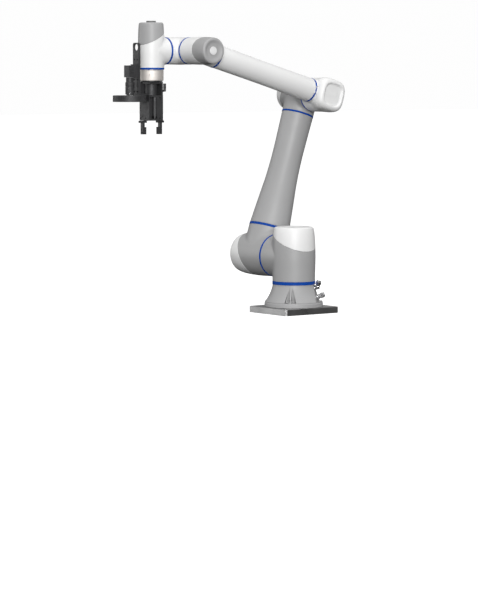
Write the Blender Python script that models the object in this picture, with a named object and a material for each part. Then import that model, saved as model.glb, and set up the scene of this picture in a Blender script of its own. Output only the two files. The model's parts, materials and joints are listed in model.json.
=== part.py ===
"""Collaborative robot arm: six turning joints on a mounting plate, with a gripper and a lit camera.

The origin is the centre of the mounting plate's underside, +Z is up along the first joint's axis. At rest
the upper arm leans towards +X, the forearm reaches back towards -X and the tool points straight down.
Every arm module is a hollow tee: a barrel on a joint's axis and a branch towards the next link.
"""

import math
from dataclasses import dataclass

import bmesh
import bpy
from mathutils import Matrix, Vector

# Driving dimensions, in metres.
GAP = 0.0003
PLATE_LENGTH, PLATE_WIDTH, PLATE_THICKNESS = 0.240, 0.2172, 0.0225
PLATE_CHAMFER = 0.004
SEAT = PLATE_THICKNESS + GAP
SHOULDER_HEIGHT = 0.1765
UPPER_ARM_LENGTH, FOREARM_LENGTH = 0.607, 0.568
UPPER_ARM_OFFSET, FOREARM_OFFSET, WRIST_OFFSET = 0.1841, 0.0661, 0.191
WRIST_REACH = 0.125
UPPER_ARM_LEAN, FOREARM_RISE = math.radians(17.52), math.radians(16.05)
WALL = 0.004
RING_WIDTH, RING_PROUD, RING_BORE_SHARE = 0.0065, 0.0005, 0.82
SPIGOT_SHARE = 0.76
CUT = 0.01
BRANCH_WALL = 0.0048
SEGMENTS, BASE_SEGMENTS, SMALL_SEGMENTS = 24, 40, 16

X_AXIS, Y_AXIS, Z_AXIS = Vector((1, 0, 0)), Vector((0, 1, 0)), Vector((0, 0, 1))
UPPER_ARM = Vector((math.sin(UPPER_ARM_LEAN), 0, math.cos(UPPER_ARM_LEAN)))
FOREARM = Vector((-math.cos(FOREARM_RISE), 0, math.sin(FOREARM_RISE)))

# Joint centres: where each barrel's axis meets its branch's axis.
SHOULDER = Vector((0, 0, SEAT + SHOULDER_HEIGHT))
ARM_BASE = SHOULDER + UPPER_ARM_OFFSET * Y_AXIS
ARM_ELBOW = ARM_BASE + UPPER_ARM_LENGTH * UPPER_ARM
ELBOW = ARM_ELBOW + (FOREARM_OFFSET - UPPER_ARM_OFFSET) * Y_AXIS
FOREARM_WRIST = ELBOW + FOREARM_LENGTH * FOREARM
WRIST_1 = FOREARM_WRIST + (WRIST_OFFSET - FOREARM_OFFSET) * Y_AXIS
WRIST_2 = WRIST_1 - WRIST_REACH * X_AXIS


@dataclass
class Module:
    """A tee: its barrel runs from the ring end to the cap end, and its branch leaves at right angles."""

    name: str
    cap_name: str
    centre: Vector
    barrel: Vector
    branch: Vector
    radius: float
    branch_radius: float
    ring_end: float
    cap_end: float
    branch_end: float
    taper: float = 0.93
    fullness: float = 1.022
    split: float = 0.726
    slope: float = 0.5
    ring_width: float = RING_WIDTH


SHOULDER_TEE = Module(
    "shoulder_housing", "shoulder_cap", SHOULDER, Z_AXIS, Y_AXIS,
    0.0764, 0.0764, 0.0850, 0.1095, 0.0975, split=0.80, ring_width=0.0113,
)
ARM_BASE_TEE = Module(
    "upper_arm_base_housing", "upper_arm_base_cap", ARM_BASE, Y_AXIS, UPPER_ARM,
    0.0764, 0.0738, 0.0783, 0.1095, 0.0957, ring_width=0.0077,
)
ARM_ELBOW_TEE = Module(
    "upper_arm_elbow_housing", "upper_arm_elbow_cap", ARM_ELBOW, Y_AXIS, -UPPER_ARM,
    0.0608, 0.0580, 0.0623, 0.0860, 0.0714, fullness=1.0,
)
FOREARM_WRIST_TEE = Module(
    "forearm_wrist_housing", "forearm_wrist_cap", FOREARM_WRIST, -Y_AXIS, -FOREARM,
    0.0475, 0.0425, 0.0618, 0.0785, 0.0594, taper=0.965,
)
WRIST_1_TEE = Module(
    "wrist_1_housing", "wrist_1_cap", WRIST_1, X_AXIS, -Y_AXIS,
    0.0475, 0.0472, 0.0619, 0.0800, 0.0560, taper=0.965,
)
WRIST_2_TEE = Module(
    "wrist_2_housing", "wrist_2_cap", WRIST_2, Z_AXIS, X_AXIS,
    0.0455, 0.0470, 0.0589, 0.0990, 0.0560, taper=0.955, split=0.94, ring_width=0.0066,
)

# The elbow's round barrel grows into a rounded square at its near end.
ELBOW_RADIUS, ELBOW_RING_END, ELBOW_CAP_END, ELBOW_BRANCH_END = 0.0615, 0.0489, 0.0635, 0.0624
ELBOW_SPLIT = 0.0400
ELBOW_SQUARENESS = 3.2
FOREARM_RADIUS = 0.0425
FOREARM_REAR_RING, FOREARM_FRONT_RING = 0.0627, 0.0662
UPPER_ARM_LOWER_RING, UPPER_ARM_UPPER_RING = 0.0960, 0.5293
LOWER_RING_WIDTH, UPPER_RING_WIDTH = 0.0085, 0.0060
LOWER_TUBE_RADIUS, UPPER_TUBE_RADIUS = 0.0735, 0.0579

# Base casting.
FLANGE_RADIUS, FLANGE_HEIGHT, BASE_HEIGHT = 0.105, 0.0155, 0.0796
BASE_TOP_RADIUS, BASE_BORE = 0.0764, 0.0640
POCKET_ANGLES = (45, 135, 225)
PANEL_ANGLE, PANEL_TILT = math.radians(-45), math.radians(13.7)
PANEL_TOP, PANEL_TOP_REACH = 0.078, 0.0724
NUT_SHARE = 1.2
POCKET_RIB, POCKET_HALF_WIDTH, POCKET_REACH = 0.0035, 0.0215, 0.0765
POCKET_FOOT, POCKET_TIP = FLANGE_HEIGHT + 0.0008, 0.0750
BOLT_CIRCLE_RADIUS, BOLT_SEGMENTS = 0.0945, 12
BOLT_RADIUS, BOLT_LENGTH = 0.004, 0.0280
BOLT_HEAD_RADIUS, BOLT_HEAD_HEIGHT, BOLT_KEY_RADIUS = 0.0065, 0.0080, 0.0034
BOLT_SHOULDER = FLANGE_HEIGHT - BOLT_HEAD_HEIGHT

# Tool: heights are below the last wrist's centre.
TOOL_RADIUS = 0.0430
FLANGE_TOP, FLANGE_BOTTOM = 0.0661, 0.1045
ADAPTER_BOTTOM, BODY_TOP, BODY_BOTTOM = 0.1080, 0.1555, 0.2443
ADAPTER_RADIUS, MOTOR_RADIUS, MOTOR_FLANGE_RADIUS = 0.0395, 0.0215, 0.0220
BODY_LENGTH, BODY_WIDTH, BODY_WALL = 0.0600, 0.0586, 0.0060
FINGER_WIDTH, FINGER_FACE, FINGER_BOTTOM = 0.0144, -0.0331, 0.2925
PINION_RADIUS, PINION_ROOT, PINION_TIP, PINION_TEETH = 0.0060, 0.0048, 0.0068, 12
RACK_BACK, RACK_BOTTOM = -0.0115, 0.2412
BRACKET_REACH, BRACKET_THICKNESS, BRACKET_WIDTH = 0.0662, 0.0080, 0.0344
BRACKET_TOP, BRACKET_BOTTOM = 0.0280, -0.1552
CAMERA_REACH, CAMERA_BACK, CAMERA_BOTTOM = 0.0920, -0.0775, 0.0925
RING_LIGHT_RADIUS, RING_LIGHT_BORE = 0.0593, 0.0220
RING_LIGHT_TOP, RING_LIGHT_BOTTOM = 0.1555, 0.1780


# Meshes from outlines.


def material(name, colour, roughness, metallic=0.0):
    made = bpy.data.materials.get(name) or bpy.data.materials.new(name)
    made.use_nodes = True
    shader = made.node_tree.nodes["Principled BSDF"]
    shader.inputs["Base Color"].default_value = (*colour, 1)
    shader.inputs["Roughness"].default_value = roughness
    shader.inputs["Metallic"].default_value = metallic
    return made


def object_from(name, mesh_maker):
    """A new object whose mesh is built by mesh_maker(bm), with its faces turned outwards."""
    bm = bmesh.new()
    mesh_maker(bm)
    bmesh.ops.recalc_face_normals(bm, faces=bm.faces)
    mesh = bpy.data.meshes.new(name)
    bm.to_mesh(mesh)
    bm.free()
    made = bpy.data.objects.new(name, mesh)
    bpy.context.collection.objects.link(made)
    return made


def across(axis):
    """Two directions at right angles to axis and to each other."""
    guide = X_AXIS if abs(axis.x) < 0.7 else Y_AXIS
    first = axis.cross(guide).normalized()
    return first, axis.cross(first).normalized()


def squared_circle(angle, power):
    """A point on a unit superellipse: power 2 is a circle, and more is squarer."""
    cosine, sine = math.cos(angle), math.sin(angle)
    return (
        math.copysign(abs(cosine) ** (2 / power), cosine),
        math.copysign(abs(sine) ** (2 / power), sine),
    )


def turned(name, base, axis, outline, segments=SEGMENTS, loop=False, directions=None):
    """A body of revolution. outline is (distance, radius) or (distance, radius, squareness) along axis.

    With loop, the outline closes on itself, as a ring or a tube does.
    """
    first, second = directions or across(axis)

    def build(bm):
        rings = []
        for distance, radius, *power in outline:
            ring = []
            for step in range(segments):
                u, v = squared_circle(2 * math.pi * (step + 0.5) / segments, *(power or [2]))
                ring.append(bm.verts.new(base + distance * axis + radius * (u * first + v * second)))
            rings.append(ring)
        pairs = list(zip(rings, rings[1:]))
        if loop:
            pairs.append((rings[-1], rings[0]))
        else:
            bm.faces.new(rings[0])
            bm.faces.new(rings[-1])
        for lower, upper in pairs:
            for step in range(segments):
                after = (step + 1) % segments
                bm.faces.new((lower[step], lower[after], upper[after], upper[step]))

    return object_from(name, build)


def extruded(name, points, start, direction):
    """A prism: the closed outline of points, moved from start along direction."""

    def build(bm):
        lower = [bm.verts.new(start + point) for point in points]
        upper = [bm.verts.new(start + point + direction) for point in points]
        bm.faces.new(lower)
        bm.faces.new(upper)
        for step, corner in enumerate(lower):
            after = (step + 1) % len(lower)
            bm.faces.new((corner, lower[after], upper[after], upper[step]))

    return object_from(name, build)


def box(name, low, high):
    low, high = Vector(low), Vector(high)
    corners = [
        Vector((low.x, low.y, 0)),
        Vector((high.x, low.y, 0)),
        Vector((high.x, high.y, 0)),
        Vector((low.x, high.y, 0)),
    ]
    return extruded(name, corners, Vector((0, 0, low.z)), Vector((0, 0, high.z - low.z)))


def duplicate(source, name):
    made = source.copy()
    made.data = source.data.copy()
    made.name = name
    bpy.context.collection.objects.link(made)
    return made


def combined(target, tools, operation):
    """Joins tools to target, or cuts them from it, with exact Booleans, and removes the tools."""
    for tool in tools:
        modifier = target.modifiers.new("boolean", "BOOLEAN")
        modifier.operation = operation
        modifier.solver = "EXACT"
        modifier.object = tool
    bpy.context.view_layer.update()
    graph = bpy.context.evaluated_depsgraph_get()
    mesh = bpy.data.meshes.new_from_object(target.evaluated_get(graph))
    target.modifiers.clear()
    target.data = mesh
    for tool in tools:
        bpy.data.objects.remove(tool)
    return target


def half_space(point, normal, size=0.5):
    """A big block that fills the side of the plane that normal points to."""
    first, second = across(normal)
    corners = [size * (a * first + b * second) for a, b in ((-1, -1), (1, -1), (1, 1), (-1, 1))]
    return extruded("half_space", corners, point, size * normal)


def smooth_curve(knots, count):
    """count + 1 points (distance, radius) on a smooth curve through the knots, by Catmull-Rom."""
    padded = [knots[0], *knots, knots[-1]]
    points = []
    for step in range(count + 1):
        place = step / count * (len(knots) - 1)
        span = min(int(place), len(knots) - 2)
        t = place - span
        before, start, end, after = (Vector(knot) for knot in padded[span : span + 4])
        slope_in, slope_out = (end - before) / 2, (after - start) / 2
        points.append(
            (2 * t**3 - 3 * t**2 + 1) * start
            + (t**3 - 2 * t**2 + t) * slope_in
            + (3 * t**2 - 2 * t**3) * end
            + (t**3 - t**2) * slope_out
        )
    return [tuple(point) for point in points]


# Arm modules.


def barrel_outline(module):
    """Nearly a cylinder, slightly fuller at its middle, that narrows to a rounded end."""
    full, cap = module.fullness, module.cap_end
    shares = (
        (-module.ring_end, 1.0),
        (-0.5 * module.ring_end, (1 + full) / 2),
        (0.0, full),
        (0.5 * cap, min(full, 1.004)),
        (0.8 * cap, (1 + module.taper) / 2),
        (0.93 * cap, module.taper),
        (0.985 * cap, module.taper - 0.06),
        (cap, module.taper - 0.16),
    )
    return [(distance, share * module.radius) for distance, share in shares]


def barrel_core(module):
    """The room inside the barrel, open at the ring end."""
    inner = module.radius - WALL
    end = module.cap_end
    return [
        (-module.ring_end - 0.01, inner),
        (0.55 * end, inner),
        (0.93 * end - WALL, module.radius * module.taper - WALL - 0.001),
        (end - WALL, module.radius * (module.taper - 0.16) - WALL),
    ]


def tee(module):
    """The housing and the cap of a module, cut apart on its slanted seam."""
    centre, branch = module.centre, module.branch
    branch_inner = module.branch_radius - BRANCH_WALL
    branch_steps = [(0, module.branch_radius * 1.01), (module.branch_end, module.branch_radius)]
    body = turned(module.name, centre, module.barrel, barrel_outline(module))
    combined(body, [turned("branch", centre, branch, branch_steps)], "UNION")
    cores = [
        turned("core", centre, module.barrel, barrel_core(module)),
        turned("core", centre, branch, [(0, branch_inner), (module.branch_end + CUT, branch_inner)]),
    ]
    combined(body, cores, "DIFFERENCE")
    seam = centre + module.split * module.radius * module.barrel
    normal = (module.barrel - module.slope * branch).normalized()
    return split_at(body, module.cap_name, seam, normal)


def split_at(body, cap_name, seam, normal):
    """Cuts a shell in two at a plane, with a thin gap: the body keeps the side that normal leaves."""
    cap = duplicate(body, cap_name)
    combined(body, [half_space(seam, normal)], "DIFFERENCE")
    combined(cap, [half_space(seam + GAP * normal, -normal)], "DIFFERENCE")
    return body, cap


def ring(name, centre, axis, start, radius, width=RING_WIDTH):
    """A coloured seal ring between two shells, standing slightly proud of them."""
    outer, inner, end = radius + RING_PROUD, RING_BORE_SHARE * radius, start + width
    outline = [(start, outer), (end, outer), (end, inner), (start, inner)]
    return turned(name, centre, axis, outline, loop=True)


def arm_ring(name, start, radius, width):
    return ring(name, ARM_BASE, UPPER_ARM, start, radius, width)


def drive(name, module):
    """Hollow-shaft motor with its reducer, brake and encoder, in the barrel behind the ring end."""
    radius, cap = module.radius, module.cap_end
    start = -module.ring_end + 0.001
    rim_end, motor_end, encoder_end = start + 0.010, 0.40 * cap, 0.66 * cap
    rim, motor, encoder, bore = radius - WALL - 0.0008, 0.62 * radius, 0.46 * radius, 0.12 * radius
    steps = (
        (start, rim),
        (rim_end, rim),
        (rim_end, motor),
        (motor_end, motor),
        (motor_end, encoder),
        (encoder_end, encoder),
        (encoder_end, bore),
        (start, bore),
    )
    return turned(name, module.centre, module.barrel, steps, SMALL_SEGMENTS, loop=True)


def joint_ring(name, module):
    start = module.ring_end + GAP
    return ring(name, module.centre, -module.barrel, start, module.radius, module.ring_width)


def mouth(module):
    """The radius of a flange that sits in this module's branch."""
    return module.branch_radius - BRANCH_WALL - 0.0008


def output_flange(name, module, seat_radius, depth=0.014):
    """The disc that the drive turns. It sits in the neighbour's mouth, and its spigot fills the ring."""
    near = module.ring_end + 2 * GAP
    shoulder = near + module.ring_width + 0.0005
    end = near + module.ring_width + depth
    spigot, bore = SPIGOT_SHARE * module.radius, 0.14 * module.radius
    steps = (
        (near, spigot),
        (near, bore),
        (end, bore),
        (end, seat_radius),
        (shoulder, seat_radius),
        (shoulder, spigot),
    )
    return turned(name, module.centre, -module.barrel, steps, SMALL_SEGMENTS, loop=True)


def tube(name, centre, axis, outline):
    """A hollow link tube, open at both ends."""
    inner = [(distance, radius - WALL) for distance, radius in reversed(outline)]
    return turned(name, centre, axis, [*outline, *inner], loop=True)


def elbow():
    """The elbow's housing and its rounded-square cap with a dished face."""
    near = -Y_AXIS
    sections = [
        (-ELBOW_RING_END, ELBOW_RADIUS, 2.0),
        (-0.010, ELBOW_RADIUS, 2.05),
        (0.020, 0.0610, 2.4),
        (0.045, 0.0580, ELBOW_SQUARENESS),
        (0.058, 0.0545, ELBOW_SQUARENESS),
        (0.062, 0.0515, ELBOW_SQUARENESS),
        (ELBOW_CAP_END, 0.0475, ELBOW_SQUARENESS),
    ]
    frame = (FOREARM.cross(Y_AXIS), FOREARM)
    body = turned("elbow_housing", ELBOW, near, sections, directions=frame)
    branch_steps = [(0, FOREARM_RADIUS + WALL), (ELBOW_BRANCH_END, FOREARM_RADIUS)]
    combined(body, [turned("branch", ELBOW, FOREARM, branch_steps)], "UNION")
    barrel_inner, branch_inner = ELBOW_RADIUS - WALL, FOREARM_RADIUS - WALL
    barrel_steps = [(-ELBOW_RING_END - CUT, barrel_inner), (0.020, barrel_inner - 0.002), (0.052, 0.046)]
    dish_steps = [(0.0590, 0.0345, 4), (0.070, 0.0385, 4)]
    cores = [
        turned("core", ELBOW, near, barrel_steps),
        turned("core", ELBOW, FOREARM, [(0, branch_inner), (ELBOW_BRANCH_END + CUT, branch_inner)]),
        turned("dish", ELBOW, near, dish_steps, directions=frame),
    ]
    combined(body, cores, "DIFFERENCE")
    return split_at(body, "elbow_cap", ELBOW + ELBOW_SPLIT * near, near)


# Base.


def polar(angle, radius, height):
    return Vector((radius * math.cos(angle), radius * math.sin(angle), height))


def bolt_places():
    """Where the four base bolts stand, on the seat's plane."""
    angles = [math.radians(45 + 90 * quarter) for quarter in range(4)]
    return [polar(angle, BOLT_CIRCLE_RADIUS, SEAT) for angle in angles]


def mounting_plate():
    half_x, half_y, cut = PLATE_LENGTH / 2, PLATE_WIDTH / 2, PLATE_CHAMFER
    corners = []
    for sign_x, sign_y in ((1, -1), (1, 1), (-1, 1), (-1, -1)):
        pair = [
            Vector((sign_x * (half_x - cut), sign_y * half_y, 0)),
            Vector((sign_x * half_x, sign_y * (half_y - cut), 0)),
        ]
        corners += pair if sign_x * sign_y < 0 else pair[::-1]
    plate = extruded("mounting_plate", corners, Vector(), PLATE_THICKNESS * Z_AXIS)
    depth = BOLT_SHOULDER - BOLT_LENGTH - 0.001
    steps = [(depth, BOLT_RADIUS + GAP), (CUT, BOLT_RADIUS + GAP)]
    holes = [turned("hole", place, Z_AXIS, steps, BOLT_SEGMENTS) for place in bolt_places()]
    return combined(plate, holes, "DIFFERENCE")


def pocket_half(angle, side):
    """One side of a triangular pocket in the skirt, beside its central rib."""
    outward, along = polar(angle, 1, 0), polar(angle + math.pi / 2, side, 0)
    corners = [
        POCKET_RIB * along + POCKET_FOOT * Z_AXIS,
        POCKET_HALF_WIDTH * along + POCKET_FOOT * Z_AXIS,
        (POCKET_RIB + 0.002) * along + POCKET_TIP * Z_AXIS,
        POCKET_RIB * along + POCKET_TIP * Z_AXIS,
    ]
    return extruded("pocket", corners, SEAT * Z_AXIS + POCKET_REACH * outward, 0.06 * outward)


def bolt_hole(place):
    """A counterbored hole through the flange."""
    shank, head, step = BOLT_RADIUS + GAP, BOLT_HEAD_RADIUS + 0.0005, BOLT_SHOULDER - GAP
    outline = [(-CUT, shank), (step, shank), (step, head), (FLANGE_HEIGHT + CUT, head)]
    return turned("bolt_hole", place, Z_AXIS, outline, BOLT_SEGMENTS)


def panel_cut():
    """What the connector panel takes off the skirt, above the flange."""
    normal = polar(PANEL_ANGLE, math.cos(PANEL_TILT), math.sin(PANEL_TILT))
    cut = half_space(panel_point(PANEL_TOP), normal, 0.12)
    low = (-0.2, -0.2, SEAT + FLANGE_HEIGHT + 0.001)
    return combined(cut, [box("above_flange", low, (0.2, 0.2, 0.3))], "INTERSECT")


def base_casting():
    """A round flange under a skirt that curves up to the first joint."""
    seat = SEAT * Z_AXIS
    skirt = [(FLANGE_HEIGHT + 0.003, 0.1035), (0.033, 0.0930), (0.047, 0.0855), (0.062, 0.0797)]
    foot = [(0, FLANGE_RADIUS), (FLANGE_HEIGHT, FLANGE_RADIUS)]
    outline = [*foot, *skirt, (0.074, BASE_TOP_RADIUS), (BASE_HEIGHT, BASE_TOP_RADIUS)]
    base = turned("base_casting", seat, Z_AXIS, outline, segments=BASE_SEGMENTS)
    bore = [(-CUT, BASE_BORE), (BASE_HEIGHT + CUT, BASE_BORE)]
    cuts = [turned("bore", seat, Z_AXIS, bore), panel_cut()]
    for degrees in POCKET_ANGLES:
        cuts += [pocket_half(math.radians(degrees), side) for side in (1, -1)]
    cuts += [bolt_hole(place) for place in bolt_places()]
    return combined(base, cuts, "DIFFERENCE")


def base_bolt(number, place):
    """A socket screw whose head is sunk in the flange."""
    top = FLANGE_HEIGHT - GAP
    steps = [
        (BOLT_SHOULDER - BOLT_LENGTH, BOLT_RADIUS),
        (BOLT_SHOULDER, BOLT_RADIUS),
        (BOLT_SHOULDER, BOLT_HEAD_RADIUS),
        (top, BOLT_HEAD_RADIUS),
    ]
    bolt = turned(f"base_bolt_{number}", place, Z_AXIS, steps, BOLT_SEGMENTS)
    key = [(top - BOLT_HEAD_HEIGHT / 2, BOLT_KEY_RADIUS), (top + CUT, BOLT_KEY_RADIUS)]
    return combined(bolt, [turned("socket", place, Z_AXIS, key, 6)], "DIFFERENCE")


def panel_point(height):
    """The point of the connector panel's middle line at this height above the seat."""
    reach = PANEL_TOP_REACH + (PANEL_TOP - height) * math.tan(PANEL_TILT)
    return polar(PANEL_ANGLE, reach, SEAT + height)


def connector(name, height, stub, rise, radius, thread_end, end):
    """A round connector: a stub square to the panel, then a thread, a nut and a mouth that rise from it."""
    axis = polar(PANEL_ANGLE, math.cos(rise), math.sin(rise))
    normal = polar(PANEL_ANGLE, math.cos(PANEL_TILT), math.sin(PANEL_TILT))
    base = panel_point(height)
    nut, nut_end, mouth_radius = NUT_SHARE * radius, end - 0.25 * (end - thread_end), 1.06 * radius
    steps = [
        (-0.3 * stub, radius),
        (thread_end, radius),
        (thread_end, nut),
        (nut_end, nut),
        (nut_end, mouth_radius),
        (end, mouth_radius),
    ]
    body = turned(name, base + stub * normal, axis, steps, SMALL_SEGMENTS)
    stub_steps = [(GAP, radius), (stub + 0.9 * radius, radius)]
    return combined(body, [turned("stub", base, normal, stub_steps, SMALL_SEGMENTS)], "UNION")


def connectors():
    return (
        connector("power_connector", 0.0665, 0.0100, math.radians(75), 0.0080, 0.0100, 0.0245),
        connector("signal_connector", 0.0330, 0.0030, math.radians(22), 0.0080, 0.0110, 0.0270),
    )


# Links.


def upper_arm_tube():
    start, end = UPPER_ARM_LOWER_RING + LOWER_RING_WIDTH + GAP, UPPER_ARM_UPPER_RING - GAP
    waist = [(0.200, 0.0655), (0.285, 0.0582), (0.370, 0.0553), (0.455, 0.0562)]
    outline = smooth_curve([(start, LOWER_TUBE_RADIUS), *waist, (end, UPPER_TUBE_RADIUS)], 7)
    return tube("upper_arm_tube", ARM_BASE, UPPER_ARM, outline)


def forearm_tube():
    start, end = FOREARM_REAR_RING + RING_WIDTH + GAP, FOREARM_LENGTH - FOREARM_FRONT_RING - GAP
    middle = (start + end) / 2
    knots = [(start, FOREARM_RADIUS), (middle, 0.0410), (end, FOREARM_RADIUS - 0.0005)]
    return tube("forearm_tube", ELBOW, FOREARM, smooth_curve(knots, 4))


# Tool, in the last wrist's own frame.


def tool_point(x, y, depth):
    return WRIST_2 + Vector((x, y, -depth))


def tool_box(name, x_range, y_range, depths):
    low = tool_point(x_range[0], y_range[0], depths[1])
    return box(name, low, tool_point(x_range[1], y_range[1], depths[0]))


def tool_round(name, x, y, steps, segments=SEGMENTS, loop=False):
    return turned(name, tool_point(x, y, 0), -Z_AXIS, steps, segments, loop)


def tool_flange():
    start = WRIST_2_TEE.ring_end + 2 * GAP
    spigot, bore = SPIGOT_SHARE * WRIST_2_TEE.radius, 0.012
    steps = [
        (start, spigot),
        (FLANGE_TOP, spigot),
        (FLANGE_TOP, TOOL_RADIUS + 0.0006),
        (FLANGE_BOTTOM - 0.006, TOOL_RADIUS),
        (FLANGE_BOTTOM, TOOL_RADIUS - 0.001),
        (FLANGE_BOTTOM, bore),
        (start, bore),
    ]
    return tool_round("tool_flange", 0, 0, steps, loop=True)


def gripper_adapter():
    steps = [(FLANGE_BOTTOM + GAP, ADAPTER_RADIUS), (ADAPTER_BOTTOM, ADAPTER_RADIUS)]
    return tool_round("gripper_adapter", 0, 0, steps)


def gripper_body():
    """A block with a rack channel in its foot, a recess for the guide column and a deck on two walls."""
    half_x, half_y, top = BODY_LENGTH / 2, BODY_WIDTH / 2, ADAPTER_BOTTOM + GAP
    body = tool_box("gripper_body", (-half_x, half_x), (-half_y, half_y), (BODY_TOP, BODY_BOTTOM))
    cuts = [
        tool_box("recess", (-0.0275, 0.003), (-0.04, -0.0135), (0.1620, 0.2380)),
        tool_box("channel", (-0.0285, 0.0285), (-0.0125, 0.0125), (0.2285, BODY_BOTTOM + CUT)),
        tool_round("bore", 0, 0, [(0.15, 0.0045), (0.235, 0.0045)], 12),
    ]
    combined(body, cuts, "DIFFERENCE")
    edge_x, edge_y = 0.99 * half_x, 0.99 * half_y
    deck = tool_box("deck", (-0.0245, edge_x), (-edge_y, edge_y), (top, top + 0.0070))
    deck_bore = MOTOR_FLANGE_RADIUS + 0.0007
    opening = tool_round("deck_bore", 0, 0, [(0.10, deck_bore), (0.13, deck_bore)])
    joined = [
        tool_round("column", 0.0005, -0.0200, [(0.1610, 0.0082), (0.2385, 0.0082)], SMALL_SEGMENTS),
        combined(deck, [opening], "DIFFERENCE"),
    ]
    depths = (top, BODY_TOP + 0.002)
    joined.append(tool_box("back_wall", (-edge_x, edge_x), (edge_y - BODY_WALL, edge_y), depths))
    joined.append(tool_box("side_wall", (edge_x - BODY_WALL, edge_x), (-edge_y, edge_y), depths))
    return combined(body, joined, "UNION")


def gripper_motor():
    flange_top = ADAPTER_BOTTOM + GAP
    flange_bottom = flange_top + 0.004
    steps = [
        (flange_top, MOTOR_FLANGE_RADIUS),
        (flange_bottom, MOTOR_FLANGE_RADIUS),
        (flange_bottom, MOTOR_RADIUS),
        (BODY_TOP - GAP, MOTOR_RADIUS),
    ]
    return tool_round("gripper_motor", 0, 0, steps)


def gripper_connector():
    """A right-angle plug beside the motor, standing up from its elbow."""
    side = -0.0215
    stem_steps = [(0, 0.0035), (0.0145, 0.0035)]
    upright_steps = [(0, 0.0045), (0.0190, 0.0045), (0.0190, 0.0052), (0.0285, 0.0052)]
    stem = turned("gripper_connector", tool_point(0.0305, side, 0.1400), X_AXIS, stem_steps, 12)
    upright = turned("upright", tool_point(0.0425, side, 0.1430), Z_AXIS, upright_steps, 12)
    return combined(stem, [upright], "UNION")


def pinion_outline():
    """Straight-flanked teeth, with one tooth towards +Y."""
    turn = 2 * math.pi / PINION_TEETH
    points = []
    for tooth in range(PINION_TEETH):
        for share in (-0.30, -0.11, 0.11, 0.30):
            radius = PINION_TIP if abs(share) < 0.2 else PINION_ROOT
            points.append(polar((tooth + share) * turn, radius, 0))
    return points


def gripper_pinion():
    gear = extruded("gripper_pinion", pinion_outline(), tool_point(0, 0, RACK_BOTTOM), 0.0100 * Z_AXIS)
    shaft = tool_round("shaft", 0, 0, [(0.1560, 0.0035), (0.2350, 0.0035)], 12)
    return combined(gear, [shaft], "UNION")


def rack_outline():
    """A toothed bar seen from above, with a tooth gap beside the pinion's tooth."""
    pitch = 2 * math.pi * PINION_RADIUS / PINION_TEETH
    root, tip, back = -0.0073, -0.0052, RACK_BACK
    start, end, count = -0.0280, 0.0035, 9
    points = [Vector((start, back, 0)), Vector((end, back, 0)), Vector((end, root, 0))]
    for tooth in range(count):
        middle = (0.5 - tooth) * pitch
        for offset, reach in ((0.28, root), (0.11, tip), (-0.11, tip), (-0.28, root)):
            points.append(Vector((middle + offset * pitch, reach, 0)))
    points.append(Vector((start, root, 0)))
    return points


def finger(name):
    """The -X finger: its rack, the carrier under the body and the blade."""
    half, bottom = FINGER_WIDTH / 2, FINGER_BOTTOM
    web_x = (-0.0280, -0.0247)
    rack = extruded(name, rack_outline(), tool_point(0, 0, RACK_BOTTOM), 0.0095 * Z_AXIS)
    joined = [
        tool_box("web", web_x, (RACK_BACK, half - 0.0005), (RACK_BOTTOM + 0.0006, 0.2455)),
        tool_box("bridge", web_x, (RACK_BACK + GAP, -0.0075), (0.2350, 0.2440)),
        tool_box("carrier", (-0.0500, -0.0240), (-half, half), (BODY_BOTTOM + GAP, 0.2520)),
        tool_box("blade", (-0.0414, FINGER_FACE), (-half, half), (0.2500, bottom)),
    ]
    return combined(rack, joined, "UNION")


def fingertip(name):
    half = FINGER_WIDTH / 2
    return tool_box(name, (FINGER_FACE + GAP, -0.0260), (-half, half), (0.2670, FINGER_BOTTOM))


def turn_half(piece):
    """Turns a -X finger's piece half a turn about the tool's axis."""
    piece.data.transform(
        Matrix.Translation(WRIST_2) @ Matrix.Rotation(math.pi, 4, "Z") @ Matrix.Translation(-WRIST_2)
    )
    return piece


def camera_bracket():
    """An upright plate with a round hole, a block behind the camera and a foot over the gripper."""
    half, top, bottom, corner, steps = BRACKET_WIDTH / 2, BRACKET_TOP, BRACKET_BOTTOM, 0.008, 4
    outline = [Vector((0, -half, bottom)), Vector((0, half, bottom))]
    for quarter in range(2):
        middle = Vector((0, (half - corner) * (1 - 2 * quarter), top - corner))
        for step in range(steps + 1):
            angle = math.pi / 2 * (quarter + step / steps)
            outline.append(middle + corner * Vector((0, math.cos(angle), math.sin(angle))))
    start = WRIST_2 - BRACKET_REACH * X_AXIS
    plate = extruded("camera_bracket", outline, start, BRACKET_THICKNESS * X_AXIS)
    joined = [
        tool_box("block", (CAMERA_BACK, -0.0600), (-0.0148, 0.0148), (0.0470, CAMERA_BOTTOM)),
        tool_box("foot", (-0.0600, -0.0232), (-0.0100, 0.0130), (0.1495, 0.1550)),
    ]
    combined(plate, joined, "UNION")
    hole = turned("hole", tool_point(-0.08, 0, -0.0121), X_AXIS, [(0, 0.0103), (0.04, 0.0103)])
    return combined(plate, [hole], "DIFFERENCE")


def camera_body():
    x_range = (-CAMERA_REACH - 0.0130, CAMERA_BACK - GAP)
    return tool_box("camera_body", x_range, (-0.0155, 0.0155), (0.0510, CAMERA_BOTTOM))


def camera_lens():
    """A neck, a wider focus barrel and its front rim."""
    neck, barrel, rim = 0.0130, 0.0153, 0.0120
    steps = [
        (CAMERA_BOTTOM + GAP, neck),
        (0.1090, neck),
        (0.1110, barrel),
        (0.1520, barrel),
        (0.1520, rim),
        (0.1545, rim),
    ]
    return tool_round("camera_lens", -CAMERA_REACH, 0, steps)


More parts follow.
